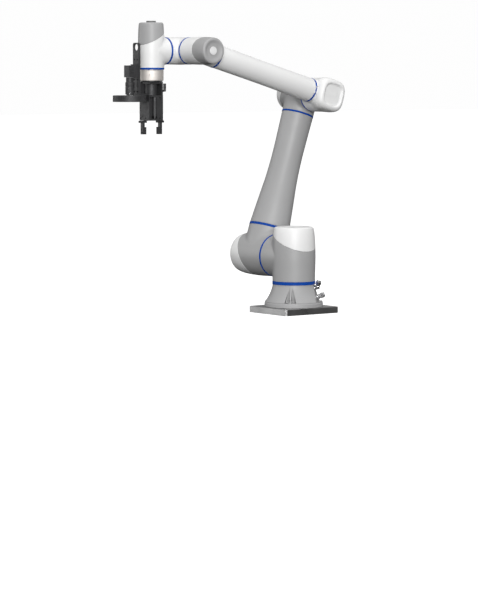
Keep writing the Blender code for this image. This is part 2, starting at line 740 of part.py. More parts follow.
def ring_light():
    outer, inner, top, bottom = RING_LIGHT_RADIUS, RING_LIGHT_BORE, RING_LIGHT_TOP, RING_LIGHT_BOTTOM
    steps = [(top, outer), (bottom, outer), (bottom, inner), (top, inner)]
    return tool_round("ring_light", -CAMERA_REACH, 0, steps, loop=True)


# Assembly.


def body_empties():
    """One empty on each joint's axis, each parented to the one before it."""
    places = {
        "root": (Vector(), None),
        "shoulder": (SHOULDER, "root"),
        "upper_arm": (ARM_BASE, "shoulder"),
        "forearm": (ELBOW, "upper_arm"),
        "wrist_1": (FOREARM_WRIST, "forearm"),
        "wrist_2": (WRIST_1, "wrist_1"),
        "tool": (WRIST_2, "wrist_2"),
        "pinion": (tool_point(0, 0, 0.2360), "tool"),
        "left_finger": (tool_point(-0.037, 0, 0.25), "tool"),
        "right_finger": (tool_point(0.037, 0, 0.25), "tool"),
    }
    empties = {}
    for name, (place, parent) in places.items():
        empty = bpy.data.objects.new(f"{name}_frame", None)
        bpy.context.collection.objects.link(empty)
        if parent:
            empty.parent = empties[parent]
            empty.location = place - places[parent][0]
        empties[name] = empty
    bpy.context.view_layer.update()
    return empties


def place(empties, body, look, *pieces):
    """Puts pieces on a body, with one material, shaded smooth between their sharp edges."""
    for piece in pieces:
        piece.parent = empties[body]
        piece.matrix_parent_inverse = empties[body].matrix_world.inverted()
        piece.data.materials.clear()
        piece.data.materials.append(look)
        piece.data.shade_smooth()
        piece.data.set_sharp_from_angle(angle=math.radians(35))


def clear_scene():
    for old in list(bpy.data.objects):
        bpy.data.objects.remove(old)


def make_materials():
    return {
        "grey": material("grey_shell", (0.40, 0.40, 0.41), 0.42),
        "white": material("white_shell", (0.84, 0.84, 0.84), 0.38),
        "blue": material("blue_ring", (0.01, 0.06, 0.36), 0.40),
        "plate": material("plate_metal", (0.55, 0.55, 0.56), 0.35, 1.0),
        "silver": material("flange_metal", (0.72, 0.70, 0.67), 0.32, 1.0),
        "black": material("black_tool", (0.045, 0.045, 0.048), 0.45),
        "steel": material("steel", (0.50, 0.50, 0.52), 0.30, 1.0),
        "pad": material("fingertip_pad", (0.03, 0.03, 0.032), 0.70),
        "chrome": material("connector_metal", (0.75, 0.75, 0.76), 0.18, 1.0),
    }


def build_root(empties, looks):
    place(empties, "root", looks["plate"], mounting_plate())
    place(empties, "root", looks["grey"], base_casting())
    for number, bolt_place in enumerate(bolt_places(), 1):
        place(empties, "root", looks["steel"], base_bolt(number, bolt_place))
    place(empties, "root", looks["chrome"], *connectors())
    place(empties, "root", looks["blue"], joint_ring("joint_1_ring", SHOULDER_TEE))
    seat_radius = BASE_BORE - 0.0006
    flange = output_flange("joint_1_flange", SHOULDER_TEE, seat_radius, depth=0.020)
    place(empties, "root", looks["steel"], flange)


def build_shoulder(empties, looks):
    housing, cap = tee(SHOULDER_TEE)
    place(empties, "shoulder", looks["grey"], housing)
    place(empties, "shoulder", looks["white"], cap)
    flange = output_flange("joint_2_flange", ARM_BASE_TEE, mouth(SHOULDER_TEE))
    place(empties, "shoulder", looks["steel"], drive("joint_1_drive", SHOULDER_TEE), flange)
    place(empties, "shoulder", looks["blue"], joint_ring("joint_2_ring", ARM_BASE_TEE))


def build_upper_arm(empties, looks):
    for module in (ARM_BASE_TEE, ARM_ELBOW_TEE):
        housing, cap = tee(module)
        place(empties, "upper_arm", looks["grey"], housing)
        place(empties, "upper_arm", looks["white"], cap)
    place(empties, "upper_arm", looks["grey"], upper_arm_tube())
    drives = (drive("joint_2_drive", ARM_BASE_TEE), drive("joint_3_drive", ARM_ELBOW_TEE))
    place(empties, "upper_arm", looks["steel"], *drives)
    rings = (
        arm_ring("upper_arm_lower_ring", UPPER_ARM_LOWER_RING, LOWER_TUBE_RADIUS, LOWER_RING_WIDTH),
        arm_ring("upper_arm_upper_ring", UPPER_ARM_UPPER_RING, UPPER_TUBE_RADIUS, UPPER_RING_WIDTH),
        joint_ring("joint_3_ring", ARM_ELBOW_TEE),
    )
    place(empties, "upper_arm", looks["blue"], *rings)


def build_forearm(empties, looks):
    seat_radius = ELBOW_RADIUS - BRANCH_WALL - GAP
    flange = output_flange("joint_3_flange", ARM_ELBOW_TEE, seat_radius, depth=0.006)
    place(empties, "forearm", looks["steel"], flange, drive("joint_4_drive", FOREARM_WRIST_TEE))
    housing, cap = tee(FOREARM_WRIST_TEE)
    place(empties, "forearm", looks["white"], *elbow(), forearm_tube(), housing)
    place(empties, "forearm", looks["grey"], cap)
    front_start = FOREARM_FRONT_RING - RING_WIDTH
    rings = (
        ring("forearm_rear_ring", ELBOW, FOREARM, FOREARM_REAR_RING, FOREARM_RADIUS),
        ring("forearm_front_ring", FOREARM_WRIST, -FOREARM, front_start, FOREARM_RADIUS),
        joint_ring("joint_4_ring", FOREARM_WRIST_TEE),
    )
    place(empties, "forearm", looks["blue"], *rings)


def build_wrists(empties, looks):
    housing, cap = tee(WRIST_1_TEE)
    place(empties, "wrist_1", looks["white"], housing)
    place(empties, "wrist_1", looks["grey"], cap)
    flange = output_flange("joint_4_flange", FOREARM_WRIST_TEE, mouth(WRIST_1_TEE), depth=0.008)
    place(empties, "wrist_1", looks["steel"], flange, drive("joint_5_drive", WRIST_1_TEE))
    place(empties, "wrist_1", looks["blue"], joint_ring("joint_5_ring", WRIST_1_TEE))

    housing, cap = tee(WRIST_2_TEE)
    place(empties, "wrist_2", looks["white"], housing)
    disc_steps = [(-0.1048, 0.0165), (-WRIST_2_TEE.cap_end - GAP, 0.0172)]
    place(empties, "wrist_2", looks["grey"], cap, tool_round("wrist_2_top_disc", 0, 0, disc_steps))
    flange = output_flange("joint_5_flange", WRIST_1_TEE, mouth(WRIST_2_TEE), depth=0.008)
    place(empties, "wrist_2", looks["steel"], flange, drive("joint_6_drive", WRIST_2_TEE))
    place(empties, "wrist_2", looks["blue"], joint_ring("joint_6_ring", WRIST_2_TEE))


def build_tool(empties, looks):
    place(empties, "tool", looks["silver"], tool_flange())
    gripper = (gripper_adapter(), gripper_body(), gripper_motor(), gripper_connector())
    place(empties, "tool", looks["black"], *gripper)
    place(empties, "tool", looks["black"], camera_bracket(), camera_body(), camera_lens(), ring_light())
    place(empties, "pinion", looks["steel"], gripper_pinion())
    place(empties, "left_finger", looks["black"], finger("finger_left"))
    place(empties, "left_finger", looks["pad"], fingertip("fingertip_left"))
    place(empties, "right_finger", looks["black"], turn_half(finger("finger_right")))
    place(empties, "right_finger", looks["pad"], turn_half(fingertip("fingertip_right")))


def main():
    clear_scene()
    empties, looks = body_empties(), make_materials()
    for build in (build_root, build_shoulder, build_upper_arm, build_forearm, build_wrists, build_tool):
        build(empties, looks)


main()
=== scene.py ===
"""Looks for the collaborative robot arm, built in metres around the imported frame."""

import json
import math
from dataclasses import dataclass

import bmesh
import bpy
import numpy as np
from mathutils import Matrix, Vector


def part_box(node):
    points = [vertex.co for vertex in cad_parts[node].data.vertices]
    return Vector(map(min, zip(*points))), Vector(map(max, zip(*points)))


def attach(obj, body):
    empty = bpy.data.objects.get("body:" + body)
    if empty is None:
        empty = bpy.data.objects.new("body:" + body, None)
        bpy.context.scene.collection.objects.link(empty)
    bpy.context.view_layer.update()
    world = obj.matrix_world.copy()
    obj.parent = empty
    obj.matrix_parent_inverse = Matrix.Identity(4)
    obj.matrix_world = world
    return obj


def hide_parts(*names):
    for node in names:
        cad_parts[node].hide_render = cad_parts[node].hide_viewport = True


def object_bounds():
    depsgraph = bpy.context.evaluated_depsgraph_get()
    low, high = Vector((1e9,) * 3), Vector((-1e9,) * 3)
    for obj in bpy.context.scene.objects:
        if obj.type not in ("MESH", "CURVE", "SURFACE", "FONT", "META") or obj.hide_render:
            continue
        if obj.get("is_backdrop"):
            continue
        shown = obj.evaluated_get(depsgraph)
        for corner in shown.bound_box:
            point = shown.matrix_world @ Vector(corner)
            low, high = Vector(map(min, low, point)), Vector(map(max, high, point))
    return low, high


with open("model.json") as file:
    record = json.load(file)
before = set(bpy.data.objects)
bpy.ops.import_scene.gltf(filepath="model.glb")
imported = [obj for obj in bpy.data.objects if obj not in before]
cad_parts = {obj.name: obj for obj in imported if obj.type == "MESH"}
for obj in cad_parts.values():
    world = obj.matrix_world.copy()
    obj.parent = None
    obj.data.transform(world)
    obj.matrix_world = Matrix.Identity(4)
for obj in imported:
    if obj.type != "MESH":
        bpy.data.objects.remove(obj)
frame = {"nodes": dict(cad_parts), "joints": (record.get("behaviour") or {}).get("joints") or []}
cad_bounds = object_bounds()

# Places, from the frame's joints. Each module's centre is where its barrel and its branch cross.
JOINTS = {joint["name"]: joint for joint in frame["joints"]}


def joint_place(name):
    return Vector(JOINTS[name]["pos_m"])


X_AXIS, Y_AXIS, Z_AXIS = Vector((1, 0, 0)), Vector((0, 1, 0)), Vector((0, 0, 1))
SHOULDER, ARM_BASE, ELBOW = (joint_place(name) for name in ("base_turn", "shoulder_lift", "elbow_bend"))
FOREARM_WRIST, WRIST_1, WRIST_2 = (joint_place(f"wrist_{number}_turn") for number in (1, 2, 3))
ARM_ELBOW = Vector((ELBOW.x, ARM_BASE.y, ELBOW.z))
UPPER_ARM = (ARM_ELBOW - ARM_BASE).normalized()
FOREARM = (FOREARM_WRIST - ELBOW).normalized()
FOREARM_LENGTH = (FOREARM_WRIST - ELBOW).length
PLATE_LOW, PLATE_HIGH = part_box("mounting_plate")
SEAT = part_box("base_casting")[0].z

# Sizes that the solids and these pieces share.
GAP, RING_WIDTH = 0.0003, 0.0065
FOREARM_RADIUS = 0.0425
FOREARM_REAR_RING, FOREARM_FRONT_RING = 0.0627, 0.0662
UPPER_ARM_LOWER_RING, UPPER_ARM_UPPER_RING = 0.0960, 0.5293
LOWER_RING_WIDTH, UPPER_RING_WIDTH = 0.0085, 0.0060
LOWER_TUBE_RADIUS, UPPER_TUBE_RADIUS = 0.0735, 0.0579
FLANGE_RADIUS, FLANGE_HEIGHT, BASE_HEIGHT = 0.105, 0.0155, 0.0796
BASE_TOP_RADIUS, BASE_BORE = 0.0764, 0.0640
PANEL_ANGLE, PANEL_TILT = math.radians(-45), math.radians(13.7)
PANEL_TOP, PANEL_TOP_REACH = 0.078, 0.0724
BOLT_CIRCLE_RADIUS = 0.0945
CAMERA_REACH = 0.0920

# Sizes that only these pieces have.
EDGE, SHELL_THICKNESS = 0.0006, 0.0032
RING_PROUD, RING_BORE_SHARE = 0.0006, 0.86

# How many segments a turned body has.
ROUND, SMALL_ROUND = 128, 64


# Materials.

# Most of a noise texture's values lie between these two.
NOISE_LOW, NOISE_HIGH = 0.3, 0.7


def node(tree, kind, **inputs):
    """A new node. Its inputs are values, or sockets to link from."""
    made = tree.nodes.new(kind)
    for key, value in inputs.items():
        socket = made.inputs[key.replace("_", " ")]
        if isinstance(value, bpy.types.NodeSocket):
            tree.links.new(value, socket)
        else:
            socket.default_value = value
    return made


def noise(tree, scale, detail=3, stretch=(1, 1, 1)):
    place = node(tree, "ShaderNodeTexCoord").outputs["Object"]
    moved = node(tree, "ShaderNodeMapping", Vector=place, Scale=stretch)
    return node(tree, "ShaderNodeTexNoise", Vector=moved.outputs[0], Scale=scale, Detail=detail).outputs[0]


def ramp(tree, factor, low, high, low_at=NOISE_LOW, high_at=NOISE_HIGH):
    """A colour that goes from low to high as factor grows."""
    made = node(tree, "ShaderNodeValToRGB", Fac=factor)
    first, last = made.color_ramp.elements
    first.position, last.position = low_at, high_at
    first.color, last.color = (*low, 1), (*high, 1)
    return made.outputs[0]


def uneven_gloss(tree, shader, factor, low, high):
    """Lets the roughness wander from low to high."""
    ends = {"From_Min": NOISE_LOW, "From_Max": NOISE_HIGH, "To_Min": low, "To_Max": high}
    gloss = node(tree, "ShaderNodeMapRange", Value=factor, **ends)
    tree.links.new(gloss.outputs[0], shader.inputs["Roughness"])


def bumps(tree, shader, height, strength, distance, under=None):
    """Raises the surface by height, on top of the bumps under it."""
    made = node(tree, "ShaderNodeBump", Height=height, Strength=strength, Distance=distance)
    if under:
        tree.links.new(under, made.inputs["Normal"])
    tree.links.new(made.outputs[0], shader.inputs["Normal"])
    return made.outputs[0]


def finish_of(name, colour, roughness, metallic=0.0, **sockets):
    """A Principled material, and the tree and shader to add its detail to."""
    look = bpy.data.materials.new(name)
    look.use_nodes = True
    shader = look.node_tree.nodes["Principled BSDF"]
    shader.inputs["Base Color"].default_value = (*colour, 1)
    shader.inputs["Roughness"].default_value = roughness
    shader.inputs["Metallic"].default_value = metallic
    for key, value in sockets.items():
        shader.inputs[key.replace("_", " ")].default_value = value
    return look, look.node_tree, shader


def tinted(tree, shader, factor, colour, depth):
    """Lets the base colour wander by depth either way."""
    low, high = ([channel * (1 + sign * depth) for channel in colour] for sign in (-1, 1))
    tree.links.new(ramp(tree, factor, low, high), shader.inputs["Base Color"])


def powder_paint(name, colour, roughness, peel=0.35):
    """Powder paint: fine orange peel, and gloss that drifts a little."""
    look, tree, shader = finish_of(name, colour, roughness, Coat_Weight=0.12, Coat_Roughness=0.25)
    tinted(tree, shader, noise(tree, 7, 4), colour, 0.025)
    uneven_gloss(tree, shader, noise(tree, 22, 5), roughness - 0.05, roughness + 0.06)
    under = bumps(tree, shader, noise(tree, 420, 2), peel * 0.4, 0.0002)
    bumps(tree, shader, noise(tree, 1400, 2), peel, 0.00008, under)
    return look


def seal_plastic(name, colour):
    """Moulded seal plastic with a fine grain."""
    look, tree, shader = finish_of(name, colour, 0.6, Specular_IOR_Level=0.15)
    tinted(tree, shader, noise(tree, 60, 3), colour, 0.08)
    bumps(tree, shader, noise(tree, 900, 2), 0.3, 0.0001)
    return look


def brushed_metal(name, colour, roughness, stretch, depth=0.12):
    """Metal brushed along the direction in which stretch is small."""
    look, tree, shader = finish_of(name, colour, roughness, 1.0, Anisotropic=0.4)
    streaks = noise(tree, 60, 5, stretch)
    tinted(tree, shader, streaks, colour, depth)
    uneven_gloss(tree, shader, noise(tree, 14, 4), roughness - 0.06, roughness + 0.10)
    bumps(tree, shader, streaks, 0.35, 0.0001)
    return look


def anodised(name, colour, roughness, metallic=0.35):
    """Bead-blasted and dyed aluminium: a fine even grain with a dull sheen."""
    look, tree, shader = finish_of(name, colour, roughness, metallic)
    tinted(tree, shader, noise(tree, 35, 4), colour, 0.10)
    uneven_gloss(tree, shader, noise(tree, 90, 3), roughness - 0.05, roughness + 0.08)
    bumps(tree, shader, noise(tree, 2200, 2), 0.4, 0.00006)
    return look


def moulded(name, colour, roughness, grain=1200, depth=0.4):
    """Plastic or rubber with a moulded grain."""
    look, tree, shader = finish_of(name, colour, roughness)
    tinted(tree, shader, noise(tree, 40, 4), colour, 0.12)
    bumps(tree, shader, noise(tree, grain, 3), depth, 0.00012)
    return look


def coated_glass(name, colour):
    """The dark front of a lens. Its colour turns a faint purple towards its edges as seen, a painted
    reflection of a coating.
    """
    look, tree, shader = finish_of(name, colour, 0.04, Coat_Weight=1.0, Coat_Roughness=0.02)
    # Painted reflection: the base colour goes from near black to a faint purple as the surface turns away
    # from the view.
    facing = node(tree, "ShaderNodeLayerWeight", Blend=0.35).outputs["Facing"]
    painted_reflection_tint = ramp(tree, facing, (0.010, 0.008, 0.020), (0.05, 0.02, 0.09), 0.1, 0.8)
    tree.links.new(painted_reflection_tint, shader.inputs["Base Color"])
    return look


GREY_PAINT = powder_paint("grey_paint", (0.348, 0.348, 0.350), 0.54)
WHITE_PAINT = powder_paint("white_paint", (0.765, 0.765, 0.762), 0.50, 0.25)
BLUE_SEAL = seal_plastic("blue_seal", (0.004, 0.058, 0.33))
PLATE_STEEL = brushed_metal("plate_steel", (0.37, 0.37, 0.37), 0.30, (1, 1, 30))
TURNED_ALUMINIUM = brushed_metal("turned_aluminium", (0.66, 0.63, 0.60), 0.60, (1, 1, 26), 0.05)
FASTENER_STEEL = brushed_metal("fastener_steel", (0.50, 0.50, 0.51), 0.28, (6, 6, 6))
INNER_STEEL = brushed_metal("inner_steel", (0.42, 0.42, 0.43), 0.36, (1, 8, 8))
BLACK_METAL = anodised("black_anodised", (0.044, 0.044, 0.046), 0.52)
BLACK_SCREW = anodised("black_oxide", (0.016, 0.016, 0.017), 0.34, 0.6)
BLACK_PLASTIC = moulded("black_plastic", (0.035, 0.035, 0.037), 0.45)
PAD_RUBBER = moulded("pad_rubber", (0.026, 0.026, 0.028), 0.72, 700, 0.7)
DIFFUSER = moulded("diffuser_plastic", (0.80, 0.80, 0.77), 0.30, 800, 0.15)
LED_AMBER = moulded("led_phosphor", (0.75, 0.60, 0.18), 0.35, 900, 0.2)
PLUG_PLASTIC = moulded("plug_plastic", (0.12, 0.12, 0.12), 0.5)
BADGE = moulded("badge_plastic", (0.68, 0.68, 0.68), 0.30, 900, 0.1)
CHROME = brushed_metal("connector_chrome", (0.78, 0.78, 0.79), 0.12, (4, 4, 4), 0.04)
LENS_GLASS = coated_glass("lens_glass", (0.01, 0.008, 0.02))


# Meshes.

# An edge is sharp from this many degrees.
SHARP = 32


def new_object(name, data):
    made = bpy.data.objects.new(name, data)
    bpy.context.scene.collection.objects.link(made)
    return made


def object_from(bm, name):
    """A new object that takes over the mesh in bm."""
    mesh = bpy.data.meshes.new(name)
    bm.to_mesh(mesh)
    bm.free()
    return new_object(name, mesh)


def mesh_object(name, mesh_maker, sharp=SHARP):
    """A new object whose mesh is built by mesh_maker(bm), smooth apart from its sharp edges."""
    bm = bmesh.new()
    mesh_maker(bm)
    bmesh.ops.recalc_face_normals(bm, faces=bm.faces)
    return smooth(object_from(bm, name), sharp)


def smooth(thing, sharp=SHARP):
    thing.data.shade_smooth()
    thing.data.set_sharp_from_angle(angle=math.radians(sharp))
    return thing


def piece(thing, body, look, cad=None):
    """Gives a piece its material, fixes it to its body and hides the solid it stands for."""
    thing.data.materials.clear()
    thing.data.materials.append(look)
    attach(thing, body)
    if cad:
        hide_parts(cad)
    return thing


def across(axis):
    """Two directions at right angles to axis and to each other."""
    guide = X_AXIS if abs(axis.x) < 0.7 else Y_AXIS
    first = axis.cross(guide).normalized()
    return first, axis.cross(first).normalized()


def spoke(first, second, angle):
    return math.cos(angle) * first + math.sin(angle) * second


def polar(angle, radius, height=0.0):
    return Vector((radius * math.cos(angle), radius * math.sin(angle), height))


def hexagon(angle):
    """How much further out a hexagon lies than its flats, at this angle."""
    return 1 / math.cos((angle + math.pi / 6) % (math.pi / 3) - math.pi / 6)


def knurl(count, depth):
    return lambda angle: 1 + depth * math.cos(count * angle)


def arc(centre, radius, start, end, steps=6):
    """Points (distance, radius) on an arc. Angles are in degrees, 0 along the axis and 90 outwards."""
    angles = [math.radians(start + (end - start) * step / steps) for step in range(steps + 1)]
    return [(centre[0] + radius * math.cos(a), centre[1] + radius * math.sin(a)) for a in angles]


def groove(start, width, radius, depth, slant=0.0):
    """The points of a groove in the side of a turned body."""
    floor = radius - depth
    return [(start, radius), (start + slant, floor), (start + width - slant, floor), (start + width, radius)]


def rounded(points, radius, steps=4, closed=False):
    """The outline with its corners rounded to radius, or less where there is no room."""
    found = []
    count = len(points)
    for index, point in enumerate(points):
        if not closed and index in (0, count - 1):
            found.append(tuple(point))
            continue
        corner = Vector(point)
        before, after = Vector(points[index - 1]) - corner, Vector(points[(index + 1) % count]) - corner
        reach = min(radius, 0.45 * before.length, 0.45 * after.length)
        start, end = corner + reach * before.normalized(), corner + reach * after.normalized()
        for step in range(steps + 1):
            t = step / steps
            found.append(tuple((1 - t) ** 2 * start + 2 * t * (1 - t) * corner + t**2 * end))
    return found


def smooth_curve(knots, count):
    """count + 1 points on a smooth curve through the knots, by Catmull-Rom."""
    padded = [knots[0], *knots, knots[-1]]
    points = []
    for step in range(count + 1):
        place = step / count * (len(knots) - 1)
        span = min(int(place), len(knots) - 2)
        t = place - span
        before, start, end, after = (Vector(knot) for knot in padded[span : span + 4])
        slope_in, slope_out = (end - before) / 2, (after - start) / 2
        points.append(
            (2 * t**3 - 3 * t**2 + 1) * start
            + (t**3 - 2 * t**2 + t) * slope_in
            + (3 * t**2 - 2 * t**3) * end
            + (t**3 - t**2) * slope_out
        )
    return [tuple(point) for point in points]


def tube_faces(bm, rings, loop=False):
    """Joins rings of points by quads, and closes the tube's ends, or joins them too."""
    pairs = list(zip(rings, rings[1:]))
    if loop:
        pairs.append((rings[-1], rings[0]))
    else:
        bm.faces.new(rings[0])
        bm.faces.new(rings[-1])
    for lower, upper in pairs:
        for step, corner in enumerate(lower):
            after = (step + 1) % len(lower)
            bm.faces.new((corner, lower[after], upper[after], upper[step]))


def turned_into(bm, base, axis, outline, segments, loop=False):
    """Adds a body of revolution. A point of the outline is (distance, radius) or (distance, radius, form)."""
    first, second = across(axis)
    rings = []
    for distance, radius, *form in outline:
        ring = []
        for step in range(segments):
            angle = 2 * math.pi * (step + 0.5) / segments
            reach = radius * (form[0](angle) if form else 1)
            ring.append(bm.verts.new(base + distance * axis + reach * spoke(first, second, angle)))
        rings.append(ring)
    tube_faces(bm, rings, loop)


def turned(name, base, axis, outline, segments=ROUND, loop=False, sharp=SHARP):
    return mesh_object(name, lambda bm: turned_into(bm, base, axis, outline, segments, loop), sharp)


def prism(name, outline, start, direction):
    """The closed outline, moved from start along direction."""

    def build(bm):
        lower = [bm.verts.new(start + Vector(point)) for point in outline]
        upper = [bm.verts.new(start + Vector(point) + direction) for point in outline]
        tube_faces(bm, [lower, upper])

    return mesh_object(name, build)


def bevelled(thing, width):
    bevel = thing.modifiers.new("bevel", "BEVEL")
    bevel.width, bevel.segments = width, 2
    bevel.limit_method, bevel.angle_limit = "ANGLE", math.radians(SHARP)
    bevel.use_clamp_overlap = True
    return thing


def applied(thing):
    """Bakes the modifiers into the mesh."""
    bpy.context.view_layer.update()
    graph = bpy.context.evaluated_depsgraph_get()
    mesh = bpy.data.meshes.new_from_object(thing.evaluated_get(graph))
    thing.modifiers.clear()
    thing.data = mesh
    return thing


def combined(target, tools, operation="DIFFERENCE", bevel=0.0, sharp=SHARP):
    """Cuts tools from target, or joins them to it, removes them and bevels the result."""
    for tool in tools:
        modifier = target.modifiers.new("boolean", "BOOLEAN")
        modifier.operation, modifier.solver, modifier.object = operation, "EXACT", tool
    applied(target)
    for tool in tools:
        bpy.data.objects.remove(tool)
    smooth(target, sharp)
    return bevelled(target, bevel) if bevel else target


def joined(name, things):
    """One object from several, their meshes left as separate bodies."""
    bm = bmesh.new()
    for thing in things:
        applied(thing)
        bm.from_mesh(thing.data)
        bpy.data.objects.remove(thing)
    return smooth(object_from(bm, name))


def screw_mesh(name, places):
    """Socket screws in one mesh: each place is (point under the head, axis, head radius, head height)."""

    def build(bm):
        for base, axis, radius, height in places:
            key, edge = 0.5 * radius, 0.12 * radius
            outline = [(0, 0.98 * radius), (0, radius), (height - edge, radius)]
            outline += [(height - 0.3 * edge, radius - 0.3 * edge), (height, radius - edge)]
            outline += [(height, key, hexagon), (0.35 * height, 0.97 * key, hexagon)]
            turned_into(bm, base, axis, outline, 36)

    return mesh_object(name, build)


def screws(name, places, body, look, cad=None):
    return piece(screw_mesh(name, places), body, look, cad)


# Cast shells: a barrel and a branch, with a fillet where they meet.


@dataclass
class Tee:
    """A module of the arm. Its barrel runs from the ring end to the cap end."""

    name: str
    body: str
    centre: Vector
    barrel: Vector
    branch: Vector
    housing_look: object
    cap_look: object
    radius: float
    branch_radius: float
    ring_end: float
    cap_end: float
    branch_end: float
    taper: float = 0.93
    fullness: float = 1.022
    split: float = 0.726
    slope: float = 0.5
    fillet: float = 0.026
    dish: float = 0.5
    dish_depth: float = 0.0015
    voxel: float = 0.0019
    ring_width: float = RING_WIDTH


SHOULDER_TEE = Tee(
    "shoulder", "shoulder", SHOULDER, Z_AXIS, Y_AXIS, GREY_PAINT, WHITE_PAINT,
    radius=0.0764, branch_radius=0.0764, ring_end=0.0850, cap_end=0.1095, branch_end=0.0975,
    split=0.80, fillet=0.020, dish=0.42, dish_depth=0.003, voxel=0.0023, ring_width=0.0113,
)
ARM_BASE_TEE = Tee(
    "upper_arm_base", "upper_arm", ARM_BASE, Y_AXIS, UPPER_ARM, GREY_PAINT, WHITE_PAINT,
    radius=0.0764, branch_radius=0.0738, ring_end=0.0783, cap_end=0.1095, branch_end=0.0957,
    voxel=0.0023, ring_width=0.0077,
)
ARM_ELBOW_TEE = Tee(
    "upper_arm_elbow", "upper_arm", ARM_ELBOW, Y_AXIS, -UPPER_ARM, GREY_PAINT, WHITE_PAINT,
    radius=0.0608, branch_radius=0.0580, ring_end=0.0623, cap_end=0.0860, branch_end=0.0714,
    fullness=1.0, fillet=0.014,
)
FOREARM_WRIST_TEE = Tee(
    "forearm_wrist", "forearm", FOREARM_WRIST, -Y_AXIS, -FOREARM, WHITE_PAINT, GREY_PAINT,
    radius=0.0475, branch_radius=FOREARM_RADIUS, ring_end=0.0618, cap_end=0.0785, branch_end=0.0594,
    taper=0.965, fillet=0.016, dish=0.66, dish_depth=0.0050, voxel=0.0015,
)
WRIST_1_TEE = Tee(
    "wrist_1", "wrist_1", WRIST_1, X_AXIS, -Y_AXIS, WHITE_PAINT, GREY_PAINT,
    radius=0.0475, branch_radius=0.0472, ring_end=0.0619, cap_end=0.0800, branch_end=0.0560,
    taper=0.965, fillet=0.018, voxel=0.0016,
)
WRIST_2_TEE = Tee(
    "wrist_2", "wrist_2", WRIST_2, Z_AXIS, X_AXIS, WHITE_PAINT, GREY_PAINT,
    radius=0.0455, branch_radius=0.0470, ring_end=0.0589, cap_end=0.0990, branch_end=0.0560,
    taper=0.955, split=0.94, fillet=0.018, dish=0.4, dish_depth=0.0006, voxel=0.0016, ring_width=0.0066,
)
ELBOW_TEE = Tee(
    "elbow", "forearm", ELBOW, -Y_AXIS, FOREARM, WHITE_PAINT, WHITE_PAINT,
    radius=0.0615, branch_radius=FOREARM_RADIUS, ring_end=0.0489, cap_end=0.0635, branch_end=0.0624,
    fillet=0.022, voxel=0.0014,
)
ELBOW_SPLIT, ELBOW_SQUARENESS = 0.0400, 3.2

# From base to tool: the modules with a slanted seam, each with the body that its seal ring rides on.
JOINT_MODULES = (
    ("root", SHOULDER_TEE),
    ("shoulder", ARM_BASE_TEE),
    ("upper_arm", ARM_ELBOW_TEE),
    ("forearm", FOREARM_WRIST_TEE),
    ("wrist_1", WRIST_1_TEE),
    ("wrist_2", WRIST_2_TEE),
)

# The meshes are cut to length afterwards, so they start longer by this much.
OVERLAP = 0.008


def barrel_profile(tee):
    """The barrel's outline (distance, radius): nearly a cylinder, with a rounded end and a shallow dish."""
    radius, cap, full = tee.radius, tee.cap_end, tee.fullness
    knots = [
        (-tee.ring_end - OVERLAP, radius),
        (-tee.ring_end, radius),
        (-0.5 * tee.ring_end, (1 + full) / 2 * radius),
        (0.0, full * radius),
        (0.5 * cap, min(full, 1.004) * radius),
        (0.8 * cap, (1 + tee.taper) / 2 * radius),
        (0.925 * cap, tee.taper * radius),
    ]
    corner, face = (0.07 * cap, 0.16 * radius), (tee.taper - 0.16) * radius
    edge = []
    for step in range(1, 9):
        angle = math.pi / 2 * step / 8
        edge.append((0.93 * cap + corner[0] * math.sin(angle), face + corner[1] * math.cos(angle)))
    dish, depth = tee.dish * radius, tee.dish_depth
    lip = [(cap, face), (cap, dish + depth), (cap - depth, dish - depth), (cap - depth, 0)]
    return smooth_curve(knots, 30) + edge + rounded(lip, 2 * depth)[1:]


def profile_distance(along, radial, outline):
    """Signed distance to an outline in the (distance, radius) half plane: negative below it."""
    points = np.stack([along, radial], 1)
    best = np.full(len(along), 1.0)
    inside = np.zeros(len(along), bool)
    outline = np.array(outline)
    for start, end in zip(outline, outline[1:]):
        edge = end - start
        share = np.clip((points - start) @ edge / max(edge @ edge, 1e-12), 0, 1)
        best = np.minimum(best, np.linalg.norm(points - start - share[:, None] * edge, axis=1))
        if abs(edge[0]) > 1e-9:
            straddles = (start[0] > along) != (end[0] > along)
            height = start[1] + (along - start[0]) / edge[0] * edge[1]
            inside ^= straddles & (height > radial)
    return np.where(inside, -best, best)


TABLE_STEP = 0.0004


def distance_table(outline):
    """profile_distance, worked out once on a grid and then looked up between its points."""
    outline = np.array(outline)
    margin = 0.012
    along = np.arange(outline[:, 0].min() - margin, outline[:, 0].max() + margin, TABLE_STEP)
    radial = np.arange(0, outline[:, 1].max() * 1.5 + margin, TABLE_STEP)
    places = np.meshgrid(along, radial, indexing="ij")
    table = profile_distance(places[0].ravel(), places[1].ravel(), outline).reshape(places[0].shape)

    def lookup(distance, radius):
        u = np.clip((distance - along[0]) / TABLE_STEP, 0, len(along) - 1.001)
        v = np.clip(radius / TABLE_STEP, 0, len(radial) - 1.001)
        i, j = u.astype(int), v.astype(int)
        u, v = u - i, v - j
        low = table[i, j] * (1 - v) + table[i, j + 1] * v
        high = table[i + 1, j] * (1 - v) + table[i + 1, j + 1] * v
        return low * (1 - u) + high * u

    return lookup


